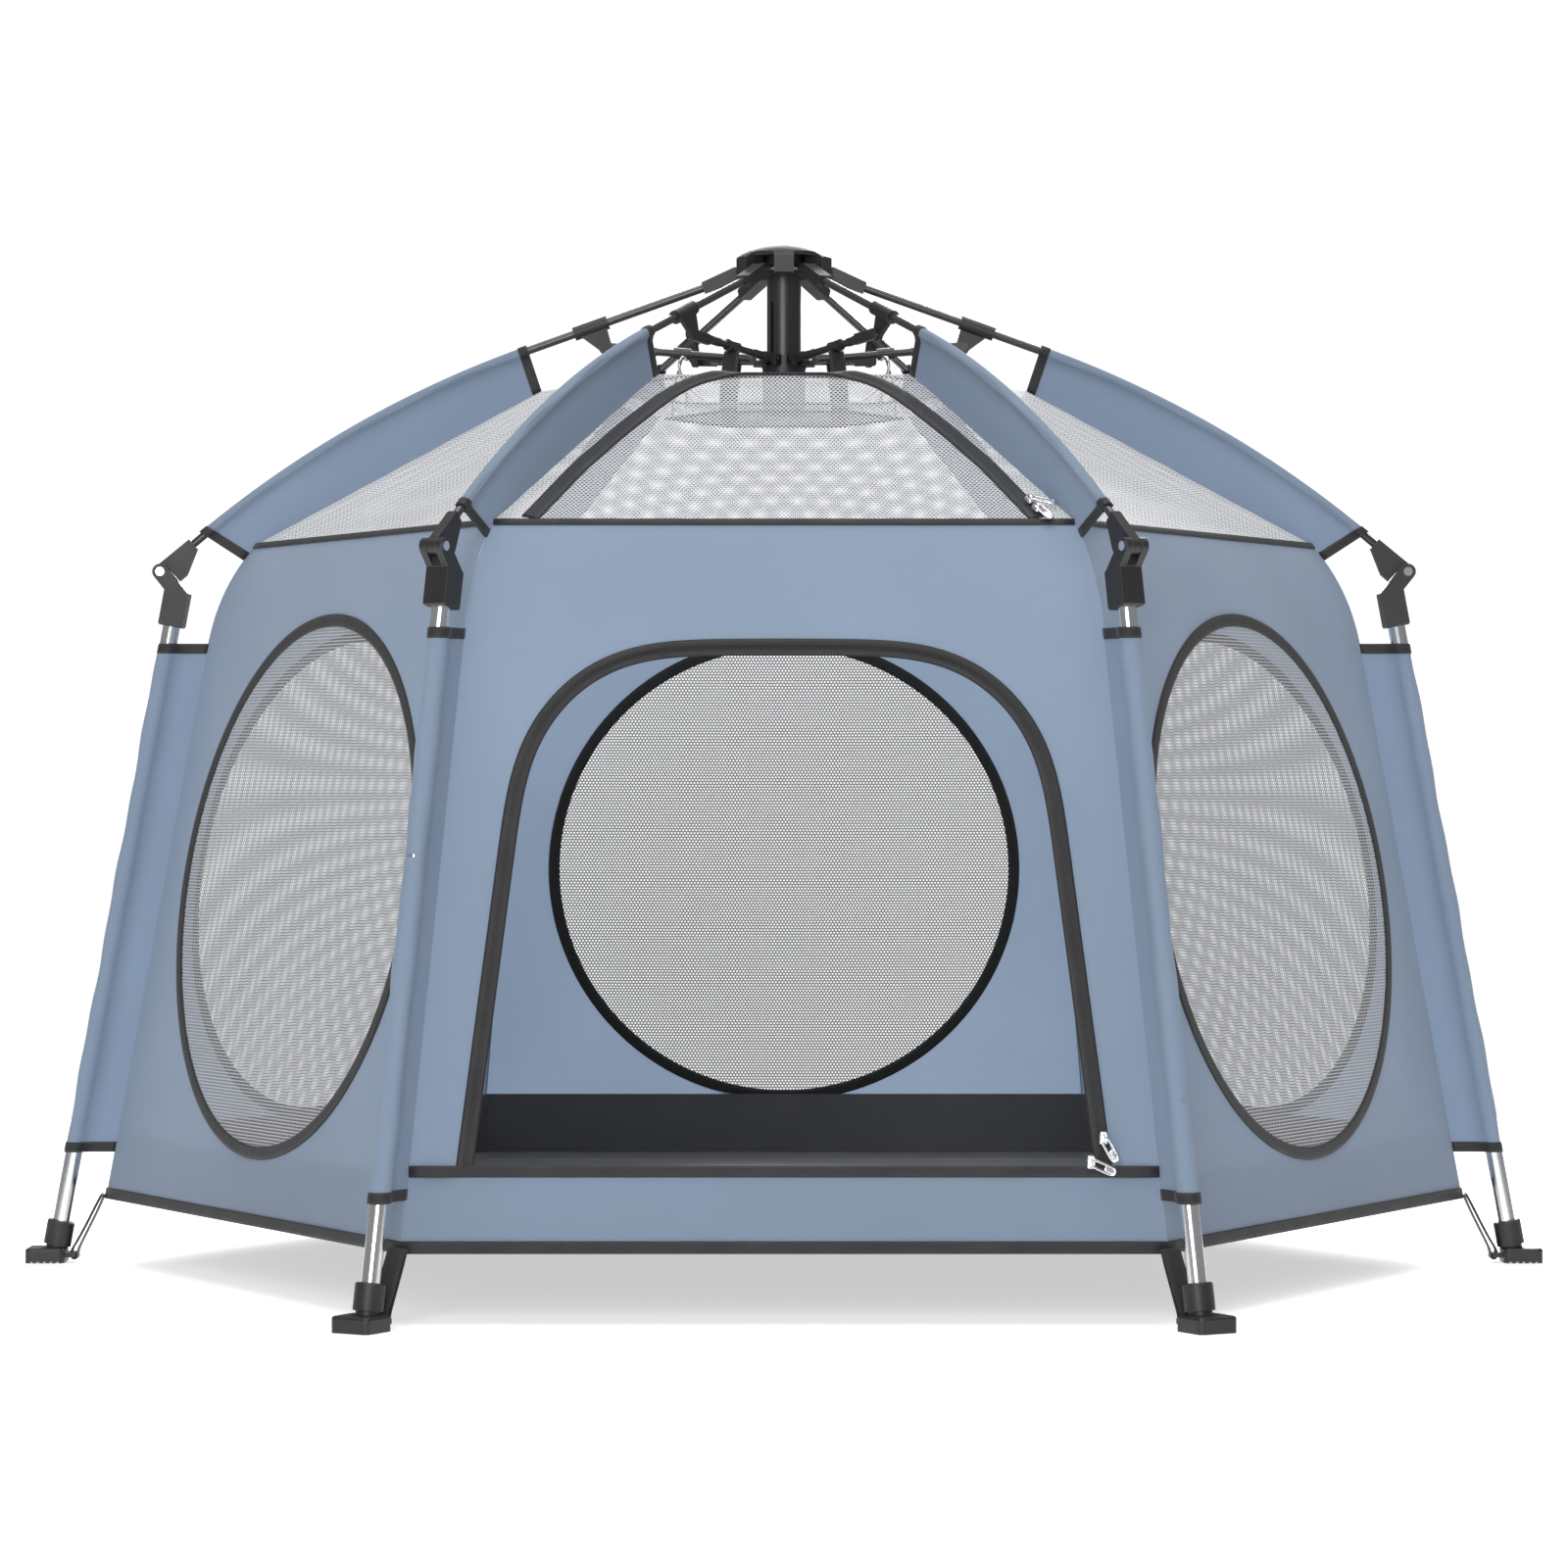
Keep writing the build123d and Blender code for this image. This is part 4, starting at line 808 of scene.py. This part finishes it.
# --- Rib sleeves --------------------------------------------------------------------------------
# A doubled blade of blue cloth under each rib, sleeved over the rod, sewn along the roof's corner seam and
# down over the eave, with a black binding across both ends.
RIB_PIN = (0.038, 1.017)
RIB_SLOPE = radians(19.7)
BOW_FROM = 0.265
BOW_TO = (0.6404 - 0.038 * cos(radians(41)), 0.7091 + 0.038 * sin(radians(41)))
RIB_SLEEVE = 0.0053


def rib_axis(stations):
    """Points on the rib's axis at shares of its covered length: straight to the bow, then one circular arc
    that leaves the straight tangentially and ends at the elbow tongue."""
    start = np.array([BOW_FROM, RIB_PIN[1] - (BOW_FROM - RIB_PIN[0]) * tan(RIB_SLOPE)])
    end = np.array(BOW_TO)
    way = np.array([cos(RIB_SLOPE), -sin(RIB_SLOPE)])
    down = np.array([-sin(RIB_SLOPE), -cos(RIB_SLOPE)])
    chord = end - start
    radius = chord @ chord / (2 * (chord @ down))
    sweep = 2 * atan2(chord @ down, chord @ way)
    arc = np.asarray(stations)[:, None] * sweep
    return start + radius * (np.sin(arc) * way + (1 - np.cos(arc)) * down)


share = np.linspace(0.0, 0.945, 41)
rod = rib_axis(share)
seam_line = np.array([ROOF_TOP, EAVE] + [p for p in reversed(bow[:-1]) if p[1] > 0.718])
run = np.concatenate([[0.0], np.cumsum(np.hypot(*np.diff(seam_line, axis=0).T))])
even = share / share[-1] * run[-1]
seam = np.stack([np.interp(even, run, seam_line[:, 0]), np.interp(even, run, seam_line[:, 1])], 1)
for k, corner in enumerate(CORNERS):
    turn = radians(60 * k)
    rows, normals, widths = sleeve_at(rod, seam, turn, RIB_SLEEVE)
    wobble = (0.0012 * np.sin(share * 21 + 1.3 * k))[:, None]
    edge = np.sin(pi * np.linspace(0, 1, rows.shape[1]))[None, :] ** 2
    sideways = np.array([-sin(turn), cos(turn), 0.0])
    rows = rows + (wobble * edge * (np.abs(normals @ sideways) > 0.9))[..., None] * sideways
    length = np.concatenate([[0.0], np.cumsum(np.linalg.norm(np.diff(rod, axis=0), axis=1))])
    flat = np.stack([widths, np.broadcast_to(length[:, None], widths.shape)], -1)
    piece = woven(f"rib_sleeve_{corner}", rows[::-1], flat[::-1], cloth_blue)
    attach(piece, f"rib_{corner}")
    trims = []
    for place, end, near in (("inner", 0, 1), ("outer", -1, -2)):
        rim, rim_normal = rows[end], normals[end]
        back = rows[near] - rows[end]
        back /= np.linalg.norm(back, axis=1, keepdims=True)
        trims.append(tape(f"rib_sleeve_binding_{place}_{corner}", rim + back * 0.003, back, rim_normal, 0.010,
                          0.0020, binding))
    for trim in trims:
        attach(trim, f"rib_{corner}")

# --- Flat top -----------------------------------------------------------------------------------
# Inside the ribs the net goes on level to a black edge cord, then dips to a small hexagon of doubled net
# under the runner. It is sewn from six sectors, one under each strut, and folds down with the struts.
RIM = (0.204, 0.8955)
PATCH = (0.119, 0.8665)
net_centre = net_material("doubled_net", (0.10, 0.105, 0.115), 0.0042, 0.0026)
for k, corner in enumerate(CORNERS):
    turn = radians(60 * k)
    swing = np.linspace(-30, 30, 17) * pi / 180
    shape = FLATTEN / np.cos(pi / 6 - np.abs(swing))
    out = np.concatenate([np.linspace(ROOF_TOP[0], RIM[0], 5), np.linspace(RIM[0], PATCH[0], 9)[1:]])
    high = np.interp(out, [PATCH[0], RIM[0], ROOF_TOP[0]], [PATCH[1], RIM[1], ROOF_TOP[1]])
    high = high - 0.0035 * np.clip(np.sin(pi * (out - PATCH[0]) / (RIM[0] - PATCH[0])), 0, 1)
    spread = shape[:, None] * out[None, :]
    points = np.stack([
        spread * np.cos(turn + swing)[:, None],
        spread * np.sin(turn + swing)[:, None],
        np.broadcast_to(high, spread.shape),
    ], -1)[:, ::-1]
    flat = points[..., :2]
    net = woven(f"top_net_{corner}", points[::-1], flat[::-1], net_roof)
    inner = np.linspace(PATCH[0], 0.002, 7)
    spread = shape[:, None] * inner[None, :]
    points = np.stack([
        spread * np.cos(turn + swing)[:, None],
        spread * np.sin(turn + swing)[:, None],
        np.full(spread.shape, PATCH[1]),
    ], -1)[:, ::-1]
    patch = woven(f"top_patch_{corner}", points[::-1], points[::-1, :, :2], net_centre)
    trims = []
    for stem, radius, height, width in (("top_edge", RIM[0], RIM[1], 0.006), ("patch_edge", PATCH[0], PATCH[1], 0.008)):
        line = np.stack([
            radius * shape * np.cos(turn + swing), radius * shape * np.sin(turn + swing), 0 * swing + height
        ], 1)
        radial = np.stack([np.cos(turn + swing), np.sin(turn + swing), 0 * swing], 1)
        up = np.tile([0.0, 0.0, 1.0], (len(swing), 1))
        trims.append(tape(f"{stem}_{corner}", line, radial, up, width, 0.0026, binding))
    for piece in (net, trims[0]):
        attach(piece, f"strut_{corner}")
        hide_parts("roof_centre")
        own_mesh(piece)
    for piece in (patch, trims[1]):
        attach(piece, "hub")
        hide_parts("roof_centre")
        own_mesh(piece)
    ring = 0.5 * FLATTEN * (ROOF_TOP[0] ** 2 - PATCH[0] ** 2)

# --- Hanger straps ------------------------------------------------------------------------------
# Six 18 mm straps of black webbing hang the middle of the top from the clamps on the struts. Folded, the
# clamps close in on the tube at much the same height, so the straps draw in with the middle of the top.
webbing = band_material("webbing", (0.016, 0.016, 0.018), 0.0070)
HANG = (0.1048, 0.9285)
for k, corner in enumerate(CORNERS):
    turn = radians(60 * k)
    t = np.linspace(0, 1, 21)
    r = HANG[0] + (PATCH[0] - 0.004 - HANG[0]) * t + 0.0025 * np.sin(pi * t)
    z = HANG[1] + (PATCH[1] + 0.001 - HANG[1]) * t
    line = np.stack([r * cos(turn), r * sin(turn), z], 1)
    across = np.tile([-sin(turn), cos(turn), 0.0], (len(t), 1))
    way = np.gradient(line, axis=0)
    way /= np.linalg.norm(way, axis=1, keepdims=True)
    strap = tape(f"hanger_strap_{corner}", line, across, np.cross(way, across), 0.018, 0.0016, webbing)
    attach(strap, "hub")
    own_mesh(strap)

# --- Rim hooks ----------------------------------------------------------------------------------
# A bent steel wire hook at each corner of the top's edge clips up over the strut's outer blade.
for k, corner in enumerate(CORNERS):
    turn = radians(60 * k)
    bend = np.linspace(-0.5 * pi, 0.75 * pi, 25)
    r = 0.2035 + 0.0085 * np.cos(bend) - 0.004
    z = 0.9055 + 0.0095 * np.sin(bend)
    line = np.stack([r * cos(turn), r * sin(turn), z], 1)
    across = np.tile([-sin(turn), cos(turn), 0.0], (len(bend), 1))
    way = np.gradient(line, axis=0)
    way /= np.linalg.norm(way, axis=1, keepdims=True)
    hook = tape(f"rim_hook_{corner}", line, across, np.cross(way, across), 0.0022, 0.0022, nickel)
    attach(hook, f"strut_{corner}")

# --- Foot straps --------------------------------------------------------------------------------
# A 20 mm black webbing loop ties each wall corner down to the hook on its foot: two plies, round the hook.
for k, corner in enumerate(CORNERS):
    turn = radians(60 * k)
    route = np.array([
        (0.6985, 0.0690), (0.7060, 0.0520), (0.7165, 0.0310), (0.7245, 0.0150), (0.7262, 0.0085),
        (0.7258, 0.0046), (0.7285, 0.0030), (0.7310, 0.0040), (0.7325, 0.0075), (0.7318, 0.0130), (0.7262, 0.0220),
        (0.7175, 0.0380), (0.7085, 0.0560), (0.7010, 0.0700),
    ])
    t = np.linspace(0, len(route) - 1, 66)
    line = np.stack([np.interp(t, np.arange(len(route)), route[:, c]) for c in (0, 1)], 1)
    for _ in range(2):
        line[1:-1] = (line[:-2] + 2 * line[1:-1] + line[2:]) / 4
    line = np.stack([line[:, 0] * cos(turn), line[:, 0] * sin(turn), line[:, 1]], 1)
    across = np.tile([-sin(turn), cos(turn), 0.0], (len(t), 1))
    way = np.gradient(line, axis=0)
    way /= np.linalg.norm(way, axis=1, keepdims=True)
    strap = tape(f"foot_strap_{corner}", line, across, np.cross(way, across), 0.020, 0.0014, webbing)
    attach(strap, f"leg_{corner}")

# --- Floor --------------------------------------------------------------------------------------
# One hexagon of dark grey coated cloth sewn to the hems, taut a few centimetres above the ground. It is made
# as six sectors, each riding with its own floor body, with a few soft ripples and its edge turned up inside
# the hem.
FLOOR_AT = 0.0635
FLOOR_REACH = 0.6955
for k, panel in enumerate(PANELS):
    turn, following = radians(60 * k), radians(60 * k + 60)
    share = np.linspace(0.01, 1, 29)
    span = np.linspace(0, 1, 25)
    first = np.array([cos(turn), sin(turn)]) * FLOOR_REACH
    second = np.array([cos(following), sin(following)]) * FLOOR_REACH
    plan = share[:, None, None] * ((1 - span)[:, None] * first + span[:, None] * second)
    ripple = 0.0007 * np.sin(14 * plan[..., 0] + 5 * plan[..., 1]) * np.cos(11 * plan[..., 1] - 3 * plan[..., 0])
    fade = np.clip(4 * (1 - share), 0, 1)[:, None]
    turn_up = 0.0058 * np.clip(1 - 28 * (1 - share), 0, 1)[:, None]
    points = np.concatenate([plan, (FLOOR_AT + ripple * fade + turn_up)[..., None]], -1)
    piece = woven(f"floor_cloth_{panel}", points, plan, cloth_grey)
    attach(piece, f"floor_{panel}")
    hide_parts(f"floor_{panel}")
    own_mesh(piece)

# --- Setting ------------------------------------------------------------------------------------
# A pale studio floor, a broad soft key from the front left, a top light and a level camera in front.


def lamp(name, place, target, size, power):
    """A square soft light that faces a point."""
    data = bpy.data.lights.new(name, "AREA")
    data.size = size
    data.energy = power
    lit = bpy.data.objects.new(name, data)
    lit.location = place
    way = np.array(target, float) - np.array(place, float)
    lit.rotation_euler = (atan2(np.hypot(way[0], way[1]), -way[2]), 0.0, atan2(way[1], way[0]) - pi / 2)
    bpy.context.collection.objects.link(lit)


ground_mesh = bpy.data.meshes.new("ground")
ground_mesh.from_pydata([(-6, -5, -0.0005), (6, -5, -0.0005), (6, 2.2, -0.0005), (-6, 2.2, -0.0005)], [],
                        [(0, 1, 2, 3)])
ground = bpy.data.objects.new("ground", ground_mesh)
bpy.context.collection.objects.link(ground)
pale, tree, shader, tint, bump = surface("pale_floor", (0.93, 0.93, 0.93), 0.9, blotch=(1.0, 0.01))
shader.inputs["Emission Color"].default_value = (1.0, 1.0, 1.0, 1.0)
shader.inputs["Emission Strength"].default_value = 0.5
ground_mesh.materials.append(pale)

scene = bpy.context.scene
scene.view_settings.view_transform = "Standard"
world = bpy.data.worlds.new("studio")
scene.world = world
world.use_nodes = True
nodes = world.node_tree.nodes
seen = nodes.new("ShaderNodeLightPath")
level = nodes.new("ShaderNodeMapRange")
level.inputs["To Min"].default_value = 0.26
level.inputs["To Max"].default_value = 1.05
world.node_tree.links.new(seen.outputs["Is Camera Ray"], level.inputs["Value"])
world.node_tree.links.new(level.outputs["Result"], nodes["Background"].inputs["Strength"])
nodes["Background"].inputs["Color"].default_value = (1.0, 1.0, 1.0, 1.0)
lamp("key", (-0.9, -5.6, 2.2), (0.0, 0.0, 0.45), 2.6, 146)
lamp("top", (0.0, -0.6, 4.2), (0.0, 0.0, 0.5), 3.5, 120)
lamp("back", (0.6, 4.5, 2.6), (0.0, 0.0, 0.6), 2.5, 270)

camera_data = bpy.data.cameras.new("camera")
camera_data.lens = 113.85
camera_data.sensor_width = 36.0
camera_data.dof.use_dof = False
camera = bpy.data.objects.new("camera", camera_data)
camera.location = (0.0, -5.1, 0.491)
camera.rotation_euler = (pi / 2, 0.0, 0.0)
bpy.context.collection.objects.link(camera)
scene.camera = camera
